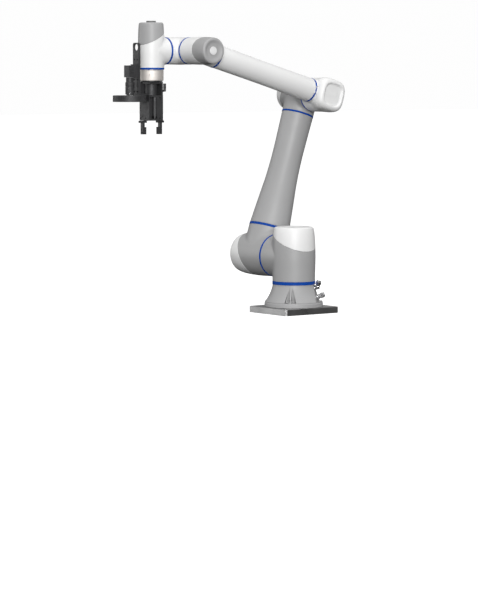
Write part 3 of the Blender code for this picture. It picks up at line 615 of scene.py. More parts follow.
def tee_field(tee, profile, squareness=None):
    """A field that is zero on the module's skin.

    The fillet fades out where the two surfaces run together and towards the end of the branch.
    """
    body_distance = distance_table(profile)
    barrel, branch = np.array(tee.barrel), np.array(tee.branch)
    side, centre = np.cross(barrel, branch), np.array(tee.centre)

    def field(points):
        local = points - centre
        along, out, sideways = local @ barrel, local @ branch, local @ side
        if squareness:
            power = squareness(along)
            radial = (np.abs(out) ** power + np.abs(sideways) ** power) ** (1 / power)
        else:
            radial = np.hypot(out, sideways)
        body = body_distance(along, radial)
        reach = np.hypot(along, sideways)
        narrowing = tee.branch_radius * (1 + 0.01 * np.clip(1 - out / tee.branch_end, 0, 1))
        arm = np.maximum(reach - narrowing, -out)
        agreement = sideways**2 / np.maximum(radial * reach, 1e-6)
        room = np.clip((tee.branch_end - 0.001 - out) / (0.6 * tee.fillet), 0, 1)
        width = tee.fillet * np.clip((1 - agreement) * room, 0.01, 1)
        mix = np.clip(0.5 + 0.5 * (arm - body) / width, 0, 1)
        return arm * (1 - mix) + body * mix - width * mix * (1 - mix)

    return field


def settled(points, field, limit, rounds=3):
    """Moves points onto the field's zero surface along its slope."""
    step = 5e-5
    for _ in range(rounds):
        rises = [field(points + offset) - field(points - offset) for offset in step * np.eye(3)]
        slope = np.stack(rises, 1) / (2 * step)
        length = np.maximum((slope**2).sum(1), 0.05)
        move = (field(points) / length)[:, None] * slope
        size = np.linalg.norm(move, axis=1, keepdims=True)
        points = points - move * np.minimum(1, limit / np.maximum(size, 1e-9))
    return points


def relaxed(points, edges, amount=0.5):
    """Moves each point towards the middle of its neighbours."""
    total, count = np.zeros_like(points), np.zeros(len(points))
    for first, second in ((0, 1), (1, 0)):
        np.add.at(total, edges[:, first], points[edges[:, second]])
        np.add.at(count, edges[:, first], 1)
    return points + amount * (total / count[:, None] - points)


def skin(name, coarse, field, voxel):
    """An even mesh of quads on the field's zero surface, started from coarse bodies."""
    start = joined(name, coarse)
    remesh = start.modifiers.new("remesh", "REMESH")
    remesh.mode, remesh.voxel_size = "VOXEL", voxel
    applied(start)
    mesh = start.data
    points = np.empty(3 * len(mesh.vertices))
    mesh.vertices.foreach_get("co", points)
    points = points.reshape(-1, 3)
    edges = np.empty(2 * len(mesh.edges), int)
    mesh.edges.foreach_get("vertices", edges)
    edges = edges.reshape(-1, 2)
    points = settled(points, field, 2 * voxel)
    for _ in range(3):
        points = relaxed(relaxed(points, edges), edges)
        points = settled(points, field, voxel, 1)
    points = settled(points, field, voxel, 2)
    mesh.vertices.foreach_set("co", points.ravel())
    mesh.update()
    return start


def cut_shell(source, name, planes, edge=0.0011):
    """The part of a skin behind every plane (point, normal), with soft edges there and a real thickness."""
    bm = bmesh.new()
    bm.from_mesh(source.data)
    for point, normal in planes:
        everything = [*bm.verts, *bm.edges, *bm.faces]
        bmesh.ops.bisect_plane(bm, geom=everything, plane_co=point, plane_no=normal, clear_outer=True)
        limit = point.dot(normal) - edge
        for depth in (0.25 * edge, 0.6 * edge, edge):
            near = {f for v in bm.verts if v.co.dot(normal) > limit for f in v.link_faces}
            around = {item for f in near for item in (*f.verts, *f.edges, f)}
            bmesh.ops.bisect_plane(bm, geom=list(around), plane_co=point - depth * normal, plane_no=normal)
    bm.normal_update()
    for point, normal in planes:
        for vertex in bm.verts:
            depth = (point - vertex.co).dot(normal)
            if depth < edge:
                drop = edge - math.sqrt(edge**2 - (edge - max(depth, 0)) ** 2)
                inward = (vertex.normal - vertex.normal.dot(normal) * normal).normalized()
                vertex.co -= 0.7 * drop * inward
    made = object_from(bm, name)
    solid = made.modifiers.new("thickness", "SOLIDIFY")
    solid.thickness, solid.offset = SHELL_THICKNESS, -1
    applied(made)
    return smooth(made, 40)


def painted(thing, body, look, cad):
    return piece(thing, body, look, cad)


def module_shells(tee, profile, seam_point, seam_normal, squareness=None):
    """The housing and the cap of a module, cut from one skin, with a hairline seam between them."""
    barrel = profile[:-1] + [(profile[-1][0], 0.001)]
    branch = [(0, tee.branch_radius), (tee.branch_end + OVERLAP, tee.branch_radius)]
    coarse = [
        turned("barrel", tee.centre, tee.barrel, barrel, SMALL_ROUND),
        turned("branch", tee.centre, tee.branch, branch, SMALL_ROUND),
    ]
    whole = skin(tee.name, coarse, tee_field(tee, profile, squareness), tee.voxel)
    ring_plane = (tee.centre - tee.ring_end * tee.barrel, -tee.barrel)
    branch_plane = (tee.centre + tee.branch_end * tee.branch, tee.branch)
    housing, cap = f"{tee.name}_housing", f"{tee.name}_cap"
    lower = cut_shell(whole, housing + "_skin", [ring_plane, branch_plane, (seam_point, seam_normal)])
    upper = cut_shell(whole, cap + "_skin", [(seam_point + 2 * GAP * seam_normal, -seam_normal)])
    bpy.data.objects.remove(whole)
    painted(lower, tee.body, tee.housing_look, housing)
    painted(upper, tee.body, tee.cap_look, cap)


def tee_shells(tee):
    """A module whose seam slants back from its branch."""
    seam_point = tee.centre + tee.split * tee.radius * tee.barrel
    seam_normal = (tee.barrel - tee.slope * tee.branch).normalized()
    module_shells(tee, barrel_profile(tee), seam_point, seam_normal)


def elbow_profile():
    """A barrel that closes to a raised, rounded rim around a dish."""
    radius, end = ELBOW_TEE.radius, ELBOW_TEE.cap_end
    start, floor = -ELBOW_TEE.ring_end - OVERLAP, end - 0.0066
    side = [(start, radius), (-0.030, radius), (0.0, radius), (0.020, 0.0608), (0.038, 0.0592)]
    shoulder = [(0.049, 0.0573), (0.0565, 0.0543), (0.0607, 0.0505), (end - 0.0006, 0.0464), (end, 0.0430)]
    dish = [(end - 0.0010, 0.0404), (end - 0.0040, 0.0380), (end - 0.0062, 0.0352), (floor, 0.0310)]
    return smooth_curve(side + shoulder + dish, 60) + [(floor, 0.0)]


def elbow_squareness(along):
    """The barrel's section turns from round to a rounded square towards the cap."""
    share = np.clip(along / 0.050 + 0.1, 0, 1)
    return 2 + (ELBOW_SQUARENESS - 2) * share**2 * (3 - 2 * share)


def elbow_shells():
    module_shells(ELBOW_TEE, elbow_profile(), ELBOW - ELBOW_SPLIT * Y_AXIS, -Y_AXIS, elbow_squareness)


# Rings and tubes.


def seal_ring(cad, body, centre, axis, start, radius, width=RING_WIDTH):
    """A seal with soft shoulders and a fine line round its middle."""
    outer, inner, end, line = radius + RING_PROUD, RING_BORE_SHARE * radius, start + width, 0.00035
    middle = groove(start + width / 2 - line, 2 * line, outer, line)
    outline = rounded([(start, inner), (start, outer), *middle, (end, outer), (end, inner)], 0.0009, 4, True)
    made = turned(cad + "_seal", centre, axis, outline, loop=True, sharp=50)
    return piece(made, body, BLUE_SEAL, cad)


def seal_rings():
    for number, (body, tee) in enumerate(JOINT_MODULES, 1):
        start = tee.ring_end + GAP
        seal_ring(f"joint_{number}_ring", body, tee.centre, -tee.barrel, start, tee.radius, tee.ring_width)
    start, radius, width = UPPER_ARM_LOWER_RING, LOWER_TUBE_RADIUS, LOWER_RING_WIDTH
    seal_ring("upper_arm_lower_ring", "upper_arm", ARM_BASE, UPPER_ARM, start, radius, width)
    start, radius, width = UPPER_ARM_UPPER_RING, UPPER_TUBE_RADIUS, UPPER_RING_WIDTH
    seal_ring("upper_arm_upper_ring", "upper_arm", ARM_BASE, UPPER_ARM, start, radius, width)
    seal_ring("forearm_rear_ring", "forearm", ELBOW, FOREARM, FOREARM_REAR_RING, FOREARM_RADIUS)
    front = FOREARM_FRONT_RING - RING_WIDTH
    seal_ring("forearm_front_ring", "forearm", FOREARM_WRIST, -FOREARM, front, FOREARM_RADIUS)


def link_tube(cad, body, centre, axis, knots, look):
    """A drawn tube with softly broken ends."""
    lip = 0.0008
    (start, start_radius), *middle, (end, end_radius) = smooth_curve(knots, 56)
    outer = [(start, start_radius - lip), (start + lip, start_radius)]
    outer += [*middle, (end - lip, end_radius), (end, end_radius - lip)]
    inner = [(distance, radius - SHELL_THICKNESS) for distance, radius in reversed(outer)]
    painted(turned(cad + "_skin", centre, axis, outer + inner, loop=True, sharp=40), body, look, cad)


def link_tubes():
    start, end = UPPER_ARM_LOWER_RING + LOWER_RING_WIDTH + GAP, UPPER_ARM_UPPER_RING - GAP
    waist = [(0.200, 0.0655), (0.285, 0.0582), (0.370, 0.0553), (0.455, 0.0562)]
    knots = [(start, LOWER_TUBE_RADIUS), *waist, (end, UPPER_TUBE_RADIUS)]
    link_tube("upper_arm_tube", "upper_arm", ARM_BASE, UPPER_ARM, knots, GREY_PAINT)
    start, end = FOREARM_REAR_RING + RING_WIDTH + GAP, FOREARM_LENGTH - FOREARM_FRONT_RING - GAP
    knots = [(start, FOREARM_RADIUS), ((start + end) / 2, 0.0410), (end, FOREARM_RADIUS - 0.0005)]
    link_tube("forearm_tube", "forearm", ELBOW, FOREARM, knots, WHITE_PAINT)


def wrist_trim():
    """The disc on top of the last wrist and the plain badge on the forearm's wrist."""
    start, high = WRIST_2_TEE.cap_end - 0.0002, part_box("wrist_2_top_disc")[1].z - WRIST_2.z
    floor = high - 0.0008
    steps = [(start, 0.0172), (high, 0.0168), (high, 0.0120), (floor, 0.0112), (floor, 0.0005)]
    disc = turned("wrist_2_top_button", WRIST_2, Z_AXIS, rounded(steps, 0.0012), SMALL_ROUND)
    piece(disc, "wrist_2", PLUG_PLASTIC, "wrist_2_top_disc")
    face = FOREARM_WRIST_TEE.cap_end - FOREARM_WRIST_TEE.dish_depth
    front = face + 0.0016
    steps = [(face - 0.0006, 0.0146), (face + 0.0010, 0.0146), (front, 0.0139), (front, 0.0005)]
    badge = turned("wrist_badge", FOREARM_WRIST, -Y_AXIS, steps, SMALL_ROUND)
    piece(badge, "forearm", BADGE)


# Base.


PLATE_CUT_X, PLATE_CUT_Y = 0.0062, 0.0045


def mounting_plate():
    """A steel plate with its four corners cut."""
    half_x, half_y, top = PLATE_HIGH
    corners = []
    for sign_x, sign_y in ((1, -1), (1, 1), (-1, 1), (-1, -1)):
        on_x_side = (sign_x * (half_x - PLATE_CUT_X), sign_y * half_y, 0)
        on_y_side = (sign_x * half_x, sign_y * (half_y - PLATE_CUT_Y), 0)
        corners += [on_x_side, on_y_side] if sign_x * sign_y < 0 else [on_y_side, on_x_side]
    plate = prism("plate_body", corners, PLATE_LOW.z * Z_AXIS, (top - PLATE_LOW.z) * Z_AXIS)
    piece(bevelled(plate, EDGE), "root", PLATE_STEEL, "mounting_plate")


PANEL_NORMAL = polar(PANEL_ANGLE, math.cos(PANEL_TILT), math.sin(PANEL_TILT))


def panel_point(height):
    """The middle of the panel that carries the connectors, at this height above the plate."""
    reach = PANEL_TOP_REACH + (PANEL_TOP - height) * math.tan(PANEL_TILT)
    return polar(PANEL_ANGLE, reach, SEAT + height)


def panel_cutter():
    """Takes off the foot whatever lies outside the panel."""
    width, depth = 0.12 * polar(PANEL_ANGLE + math.pi / 2, 1), 0.12 * PANEL_NORMAL
    up = PANEL_NORMAL.cross(width).normalized()
    height = math.copysign(0.2, up.z) * up
    sheet = [-width, width, width + height, height - width]
    return prism("panel", sheet, panel_point(FLANGE_HEIGHT + 0.0012), depth)


def pocket(angle, side):
    """A cutter for one side of a triangular pocket, beside its central rib. Its back wall leans inward."""
    outward, along = polar(angle, 1), polar(angle + math.pi / 2, side)
    rib, half_width, foot, tip, back, lean = 0.0030, 0.0215, FLANGE_HEIGHT + 0.0012, 0.0745, 0.0672, 0.17
    flat = rounded([(rib, foot), (half_width, foot), (rib + 0.0016, tip), (rib, tip)], 0.0012, 3, True)
    outline = [x * along + z * Z_AXIS + lean * (z - foot) * outward for x, z in flat]
    return prism("pocket", outline, SEAT * Z_AXIS + back * outward, 0.06 * outward)


def base_casting():
    """The foot: a round flange, a skirt that sweeps up to the first joint, ribbed pockets and a panel."""
    foot = rounded([(0, BASE_BORE), (0, FLANGE_RADIUS - 0.0004), (FLANGE_HEIGHT, FLANGE_RADIUS)], 0.0016)
    shoulder = arc((FLANGE_HEIGHT - 0.0032, 0.1016), 0.0034, 90, 25, 5)
    skirt = [(FLANGE_HEIGHT + 0.0028, 0.1035), (0.033, 0.0930), (0.047, 0.0855), (0.062, 0.0797)]
    skirt = smooth_curve([*skirt, (0.074, BASE_TOP_RADIUS)], 20)
    top = [(BASE_HEIGHT, BASE_TOP_RADIUS), (BASE_HEIGHT, BASE_BORE)]
    base = turned("base_foot", SEAT * Z_AXIS, Z_AXIS, foot[:-1] + shoulder + skirt + top, 160, loop=True)
    cuts = [panel_cutter()]
    for degrees in (45, 135, 225):
        cuts += [pocket(math.radians(degrees), side) for side in (1, -1)]
    for place in bolt_places():
        steps = [(-0.01, 0.0044), (0.0070, 0.0044), (0.0070, 0.0071), (0.03, 0.0071)]
        cuts.append(turned("counterbore", place, Z_AXIS, steps, 32))
    combined(base, cuts, sharp=30)
    piece(base, "root", GREY_PAINT, "base_casting")


def bolt_places():
    return [polar(math.radians(45 + 90 * quarter), BOLT_CIRCLE_RADIUS, SEAT) for quarter in range(4)]


def base_bolts():
    for number, place in enumerate(bolt_places(), 1):
        heads = [(place + 0.0075 * Z_AXIS, Z_AXIS, 0.0064, 0.0077)]
        screws(f"base_screw_{number}", heads, "root", FASTENER_STEEL, f"base_bolt_{number}")


def connector(cad, height, stub, rise, radius, thread_end, end):
    """A stub square to the panel, a thread, a knurled nut, a bright sleeve and a black insert with pins."""
    axis = polar(PANEL_ANGLE, math.cos(rise), math.sin(rise))
    panel = panel_point(height)
    base = panel + stub * PANEL_NORMAL
    nut, nut_end, sleeve = 1.2 * radius, end - 0.25 * (end - thread_end), 1.06 * radius
    grip, thread = knurl(20, 0.035), []
    for turn in range(3):
        thread += groove(thread_end - 0.0040 + 0.0012 * turn, 0.0011, radius, 0.06 * radius, 0.0003)
    shell = [
        (-0.3 * stub, radius), *thread, (thread_end, radius),
        (thread_end, nut - 0.001), (thread_end + 0.001, nut, grip),
        (nut_end - 0.001, nut, grip), (nut_end, nut - 0.001),
        (nut_end, sleeve), (end - 0.0006, sleeve), (end, sleeve - 0.0006),
        (end, 0.80 * radius), (end - 0.004, 0.80 * radius),
    ]
    collar = [(GAP, 1.22 * radius), (0.0022, 1.22 * radius), (0.0026, 1.16 * radius), (0.0026, radius)]
    collar += [(stub + 0.8 * radius, radius), (stub + 0.9 * radius, 0.9 * radius)]
    made = turned(cad + "_shell", base, axis, shell, 96)
    combined(made, [turned("collar", panel, PANEL_NORMAL, collar, 96)], "UNION")
    piece(made, "root", CHROME, cad)
    insert = [(end - 0.0045, 0.78 * radius), (end - 0.0022, 0.78 * radius)]
    insert += [(end - 0.0018, 0.72 * radius), (end - 0.0018, 0.0003)]
    piece(turned(cad + "_insert", base, axis, insert, 48), "root", BLACK_PLASTIC)
    pin = [(end - 0.0025, 0.0006), (end - 0.0003, 0.0006), (end, 0.0003)]
    pins = []
    for turn in range(5):
        spot = base + 0.42 * radius * spoke(*across(axis), 2 * math.pi * turn / 5)
        pins.append(turned("pin", spot, axis, pin, 10))
    piece(joined(cad + "_pins", pins), "root", FASTENER_STEEL)


def connectors():
    connector(
        "power_connector", height=0.0665, stub=0.0100, rise=math.radians(75),
        radius=0.0080, thread_end=0.0100, end=0.0245,
    )
    connector(
        "signal_connector", height=0.0330, stub=0.0030, rise=math.radians(22),
        radius=0.0080, thread_end=0.0110, end=0.0270,
    )


# Tool. Depths are below the last wrist's centre.


def tool_point(x, y, depth):
    return WRIST_2 + Vector((x, y, -depth))


def tool_block(name, x_range, y_range, depths):
    low = tool_point(x_range[0], y_range[0], depths[1])
    high = tool_point(x_range[1], y_range[1], depths[0])
    corners = [(low.x, low.y, 0), (high.x, low.y, 0), (high.x, high.y, 0), (low.x, high.y, 0)]
    return prism(name, corners, low.z * Z_AXIS, (high.z - low.z) * Z_AXIS)


def tool_round(name, x, y, outline, segments=ROUND, loop=False):
    return turned(name, tool_point(x, y, 0), -Z_AXIS, outline, segments, loop)


def drill(place, axis, radius, depth):
    """A round cutter that starts at place and runs along axis."""
    return turned("drill", place, axis, [(0, radius), (depth, radius)], 24)


def tool_piece(thing, cad=None, look=BLACK_METAL):
    """A piece that rides on the tool, in black anodised metal unless another look is given."""
    return piece(thing, "tool", look, cad)


def tool_screws(name, places):
    screws(name, places, "tool", BLACK_SCREW)


def rim_screw(x, depth, reach, angle, radius, height):
    """The place of a screw that points outward from the rim of a round body."""
    outward = polar(angle, 1)
    return tool_point(x, 0, depth) + reach * outward, outward, radius, height


def tool_flange():
    """The turned output flange, with four holes round its rim."""
    steps = [(0.0602, 0.0345), (0.0661, 0.0345), (0.0661, 0.0436)]
    steps += groove(0.0690, 0.0016, 0.0436, 0.0004, 0.0004)
    steps += [(0.1000, 0.0432), (0.1038, 0.0432), (0.1045, 0.0425), (0.1045, 0.0120), (0.0602, 0.0120)]
    flange = tool_round("output_flange", 0, 0, rounded(steps, 0.0005, 2, True), loop=True)
    cuts = []
    for turn in range(4):
        axis = polar(math.radians(45 + 90 * turn), 1)
        cuts.append(drill(tool_point(0, 0, 0.0850) + 0.0400 * axis, axis, 0.0026, 0.01))
    combined(flange, cuts)
    piece(flange, "tool", TURNED_ALUMINIUM, "tool_flange")


def gripper_adapter():
    steps = [(0.1048, 0.0388), (0.1053, 0.0395), (0.1075, 0.0395), (0.1080, 0.0390)]
    tool_piece(tool_round("adapter_disc", 0, 0, steps), "gripper_adapter")
    angles = (3.4, 4.4, 5.4, 1.2, 2.3)
    tool_screws("adapter_screws", [rim_screw(0, 0.1064, 0.0386, angle, 0.0010, 0.0012) for angle in angles])


GRIPPER_HALF_X, GRIPPER_HALF_Y, GRIPPER_WALL, DECK_TOP = 0.0300, 0.0293, 0.0060, 0.1083
GUIDE_X, GUIDE_Y = 0.0005, -0.0200


def gripper_body():
    """The block, its guide column in the front recess, and the deck on two walls round the motor."""
    half_x, half_y = GRIPPER_HALF_X, GRIPPER_HALF_Y
    body = tool_block("gripper_block", (-half_x, half_x), (-half_y, half_y), (0.1555, 0.2443))
    cuts = [
        tool_block("recess", (-0.0275, 0.003), (-0.04, -0.0135), (0.1620, 0.2380)),
        tool_block("channel", (-0.0285, 0.0285), (-0.0125, 0.0125), (0.2285, 0.2600)),
        tool_round("bore", 0, 0, [(0.15, 0.0045), (0.235, 0.0045)], 24),
    ]
    for depth in (0.1700, 0.2300):
        cuts.append(drill(tool_point(-half_x - 0.004, 0.012, depth), X_AXIS, 0.0024, 0.0065))
        cuts.append(drill(tool_point(0.020, -half_y - 0.004, depth), Y_AXIS, 0.0024, 0.0065))
    combined(body, cuts)
    edge_x, edge_y = 0.99 * half_x, 0.99 * half_y
    deck = tool_block("deck", (-0.0245, edge_x), (-edge_y, edge_y), (DECK_TOP, DECK_TOP + 0.0070))
    wall = (DECK_TOP, 0.1575)
    parts = [
        tool_round("column", GUIDE_X, GUIDE_Y, [(0.1610, 0.0082), (0.2385, 0.0082)], SMALL_ROUND),
        combined(deck, [tool_round("bore", 0, 0, [(0.10, 0.0227), (0.13, 0.0227)], SMALL_ROUND)]),
        tool_block("back_wall", (-edge_x, edge_x), (edge_y - GRIPPER_WALL, edge_y), wall),
        tool_block("side_wall", (edge_x - GRIPPER_WALL, edge_x), (-edge_y, edge_y), wall),
    ]
    combined(body, parts, "UNION", EDGE)
    tool_piece(body, "gripper_body")
    places = [(tool_point(0.0165, -half_y + 0.0002, d), -Y_AXIS, 0.0022, 0.0016) for d in (0.1640, 0.2360)]
    for y in (-0.0080, 0.0230):
        for depth in (0.1650, 0.2350):
            places.append((tool_point(-half_x + 0.0002, y, depth), -X_AXIS, 0.0022, 0.0016))
    tool_screws("gripper_screws", places)


def guide_collar():
    """The dark clamp at the foot of the guide column, open towards the rack."""
    steps = rounded([(0.2270, 0.0086), (0.2270, 0.0104), (0.2368, 0.0104), (0.2368, 0.0086)], 0.0008, 3, True)
    collar = tool_round("guide_collar", GUIDE_X, GUIDE_Y, steps, SMALL_ROUND, loop=True)
    combined(collar, [tool_block("opening", (-0.0200, 0.0200), (-0.0119, 0), (0.2200, 0.2400))])
    tool_piece(collar, look=BLACK_SCREW)


def gripper_motor():
    """The motor can, with two seams below the deck and a flange in the deck's bore."""
    steps = [(DECK_TOP, 0.0220), (DECK_TOP + 0.0040, 0.0220), (0.1125, 0.0215)]
    for depth in (0.1235, 0.1490):
        steps += groove(depth, 0.0012, 0.0215, 0.0005, 0.0003)
    steps += [(0.1545, 0.0215), (0.1552, 0.0208)]
    tool_piece(tool_round("motor_can", 0, 0, steps, 96), "gripper_motor")


def gripper_connector():
    """A right-angle plug: a nut on the body, an elbow and a ribbed back end that stands up."""
    y, depth, back_x, bend_radius = -0.0215, 0.1400, 0.0425, 0.005
    grip = knurl(16, 0.03)
    nut = [(0, 0.0044, grip), (0.0040, 0.0044, grip), (0.0042, 0.0036), (0.0100, 0.0036)]
    stem = turned("stem", tool_point(0.0303, y, depth), X_AXIS, nut, 48)
    route = [tool_point(0.0320, y, depth)]
    for step in range(9):
        angle = math.pi / 2 * step / 8
        x = back_x - bend_radius + bend_radius * math.sin(angle)
        route.append(tool_point(x, y, depth - bend_radius + bend_radius * math.cos(angle)))
    bend = pipe("bend", [*route, tool_point(back_x, y, 0.1300)], 0.0038)
    back = [(0, 0.0046), (0.0095, 0.0046)]
    for rib in range(5):
        start = 0.0100 + 0.0018 * rib
        back += [(start, 0.0052), (start + 0.0008, 0.0052), (start + 0.0012, 0.0047)]
    back += [(0.0272, 0.0052), (0.0280, 0.0046)]
    upright = turned("upright", tool_point(back_x, y, 0.1425), Z_AXIS, back, 48)
    tool_piece(joined("gripper_plug", [stem, bend, upright]), "gripper_connector", BLACK_PLASTIC)


def pipe(name, points, radius, segments=24):
    """A round bar along points, each ring square to the way the bar runs there."""

    def build(bm):
        rings = []
        angles = [2 * math.pi * step / segments for step in range(segments)]
        for index, point in enumerate(points):
            way = (points[min(index + 1, len(points) - 1)] - points[max(index - 1, 0)]).normalized()
            first = way.cross(Y_AXIS).normalized()
            second = way.cross(first)
            rings.append([bm.verts.new(point + radius * spoke(first, second, angle)) for angle in angles])
        tube_faces(bm, rings)

    return mesh_object(name, build)


# Fingers. The right one is the left one turned half way round the tool's axis.


def half_turned(thing):
    applied(thing)
    turn = Matrix.Translation(WRIST_2) @ Matrix.Rotation(math.pi, 4, "Z") @ Matrix.Translation(-WRIST_2)
    thing.data.transform(turn)
    return thing


def finger(side, turn):
    """A finger with its rack, a stepped blade, its pad and the screws that hold them."""
    body = f"{side}_finger"
    half, bottom, face = 0.0072, 0.2925, -0.0331
    parts = [
        tool_block("web", (-0.0280, -0.0247), (-0.0115, half - 0.0005), (0.2418, 0.2455)),
        tool_block("bridge", (-0.0280, -0.0247), (-0.0112, -0.0075), (0.2350, 0.2440)),
        tool_block("carrier", (-0.0500, -0.0240), (-half, half), (0.2446, 0.2520)),
        tool_block("blade", (-0.0414, face), (-half, half), (0.2500, bottom)),
    ]
    made = combined(rack(f"{side}_finger_blade"), parts, "UNION", 0.0005)
    piece(turn(made), body, BLACK_METAL, f"finger_{side}")
    pad = tool_block(f"{side}_pad", (face + GAP, -0.0260), (-half, half), (0.2670, bottom))
    grooves = []
    for number in range(7):
        depth = 0.2700 + 0.0030 * number
        grooves.append(tool_block("groove", (-0.0264, -0.0250), (-0.02, 0.02), (depth, depth + 0.0010)))
    combined(pad, grooves, bevel=0.0004)
    piece(turn(pad), body, PAD_RUBBER, f"fingertip_{side}")
    places = [(tool_point(-0.0498, 0, 0.2483), -X_AXIS, 0.0027, 0.0022)]
    places += [(tool_point(-0.0412, 0, depth), -X_AXIS, 0.0020, 0.0014) for depth in (0.2730, 0.2860)]
    piece(turn(screw_mesh(f"{side}_finger_screws", places)), body, BLACK_SCREW)


def rack(name):
    """A toothed bar seen from above, with a tooth gap beside the pinion's tooth."""
    pitch = 2 * math.pi * 0.0060 / 12
    root, tip, back = -0.0073, -0.0052, -0.0115
    start, end = -0.0280, 0.0035
    points = [(start, back, 0), (end, back, 0), (end, root, 0)]
    for tooth in range(9):
        middle = (0.5 - tooth) * pitch
        for offset, reach in ((0.28, root), (0.11, tip), (-0.11, tip), (-0.28, root)):
            points.append((middle + offset * pitch, reach, 0))
    points.append((start, root, 0))
    return prism(name, points, tool_point(0, 0, 0.2412), 0.0095 * Z_AXIS)


# Camera, bracket and ring light.


def camera_bracket():
    """An upright plate with a round hole, the block behind the camera and a foot over the gripper."""
    half, top, corner = 0.0172, 0.0280, 0.008
    outline = [(0, -half, -0.1552), (0, half, -0.1552)]
    for quarter in range(2):
        for step in range(9):
            angle = math.pi / 2 * (quarter + step / 8)
            y = (half - corner) * (1 - 2 * quarter) + corner * math.cos(angle)
            outline.append((0, y, top - corner + corner * math.sin(angle)))
    plate = prism("bracket_plate", outline, WRIST_2 - 0.0662 * X_AXIS, 0.0080 * X_AXIS)
    parts = [
        tool_block("block", (-0.0775, -0.0600), (-0.0148, 0.0148), (0.0470, 0.0925)),
        tool_block("foot", (-0.0600, -0.0232), (-0.0100, 0.0130), (0.1495, 0.1550)),
    ]
    combined(plate, parts, "UNION")
    hole = [(0, 0.0142), (0.0138, 0.0138), (0.0162, 0.0114)]
    hole += [(0.0194, 0.0114), (0.0218, 0.0138), (0.0300, 0.0142)]
    cuts = [turned("hole", tool_point(-0.08, 0, -0.0121), X_AXIS, hole, SMALL_ROUND)]
    places = []
    for y in (-0.0095, 0.0095):
        cuts.append(tool_block("slot", (-0.08, -0.05), (y - 0.0022, y + 0.0022), (0.1080, 0.1300)))
        places += [(tool_point(-0.0660, y, d), -X_AXIS, 0.0026, 0.0024) for d in (0.0300, 0.1010, 0.1420)]
    combined(plate, cuts, bevel=EDGE)
    tool_piece(plate, "camera_bracket")
    tool_screws("bracket_screws", places)


def camera_housing():
    """The camera's case, with cooling grooves on its sides and a screw at each corner of its top."""
    body = tool_block("camera_case", (-CAMERA_REACH - 0.0130, -0.0778), (-0.0155, 0.0155), (0.0510, 0.0925))
    grooves = []
    for number in range(5):
        depth = 0.0590 + 0.0055 * number
        for y_range in ((-0.0170, -0.0149), (0.0149, 0.0170)):
            grooves.append(tool_block("groove", (-0.1020, -0.0820), y_range, (depth, depth + 0.0022)))
    combined(body, grooves, bevel=0.0007)
    tool_piece(body, "camera_body")
    places = []
    for x in (-0.0105, 0.0105):
        for y in (-0.0125, 0.0125):
            places.append((tool_point(-CAMERA_REACH + x, y, 0.0512), Z_AXIS, 0.0014, 0.0006))
    tool_screws("camera_screws", places)


LENS_RADIUS, GLASS_RADIUS = 0.0153, 0.0090


def camera_lens():
    """A lens barrel: a lock ring, a knurled focus ring, an aperture ring and a recessed front glass."""
    grip, fine = knurl(48, 0.012), knurl(64, 0.008)
    steps = [
        (0.0928, 0.0126), (0.0932, 0.0130),
        *groove(0.0985, 0.0014, 0.0130, 0.0003, 0.0003),
        (0.1085, 0.0130), (0.1108, LENS_RADIUS),
        (0.1130, LENS_RADIUS, grip), (0.1230, LENS_RADIUS, grip),
        (0.1236, 0.0148), (0.1256, 0.0148), (0.1262, LENS_RADIUS), (0.1335, LENS_RADIUS),
        (0.1340, 0.0149), (0.1352, 0.0149),
        (0.1357, LENS_RADIUS, fine), (0.1430, LENS_RADIUS, fine),
        (0.1436, 0.0149), (0.1448, 0.0149), (0.1453, LENS_RADIUS), (0.1515, LENS_RADIUS),
        (0.1520, 0.0148), (0.1520, 0.0121), (0.1541, 0.0121),
        (0.1545, 0.0117), (0.1545, 0.0104), (0.1515, 0.0092),
    ]
    tool_piece(tool_round("lens_barrel", -CAMERA_REACH, 0, steps, 192), "camera_lens")
    dome = [(0.1510, GLASS_RADIUS)]
    for radius in (0.0075, 0.0060, 0.0045, 0.0030, 0.0015, 0.0003):
        dome.append((0.1510 + 0.0016 * (1 - (radius / GLASS_RADIUS) ** 2), radius))
    tool_piece(tool_round("lens_front_glass", -CAMERA_REACH, 0, dome, 64), look=LENS_GLASS)
    spots = ((0.1300, 3.9), (0.1484, 4.1))
    places = [rim_screw(-CAMERA_REACH, depth, 0.0151, angle, 0.0009, 0.0016) for depth, angle in spots]
    screws("lens_lock_screws", places, "tool", FASTENER_STEEL)


LIGHT_OUTER, LIGHT_INNER, LIGHT_TOP, LIGHT_BOTTOM = 0.0593, 0.0220, 0.1555, 0.1780


def light_case():
    """A dished case with cooling grooves round its rim."""
    outer, inner, bottom = LIGHT_OUTER, LIGHT_INNER, LIGHT_BOTTOM
    outline = [(LIGHT_TOP, inner), (LIGHT_TOP, outer - 0.0016), (LIGHT_TOP + 0.0016, outer)]
    for depth in (0.1600, 0.1632, 0.1664):
        outline += groove(depth, 0.0012, outer, 0.0010)
    dish = bottom - 0.0022
    outline += [(bottom - 0.0010, outer), (bottom, outer - 0.0010), (bottom, outer - 0.0030)]
    outline += [(dish, outer - 0.0036), (dish, inner + 0.0036), (bottom, inner + 0.0030), (bottom, inner)]
    tool_piece(tool_round("ring_light_case", -CAMERA_REACH, 0, outline, 160, loop=True), "ring_light")


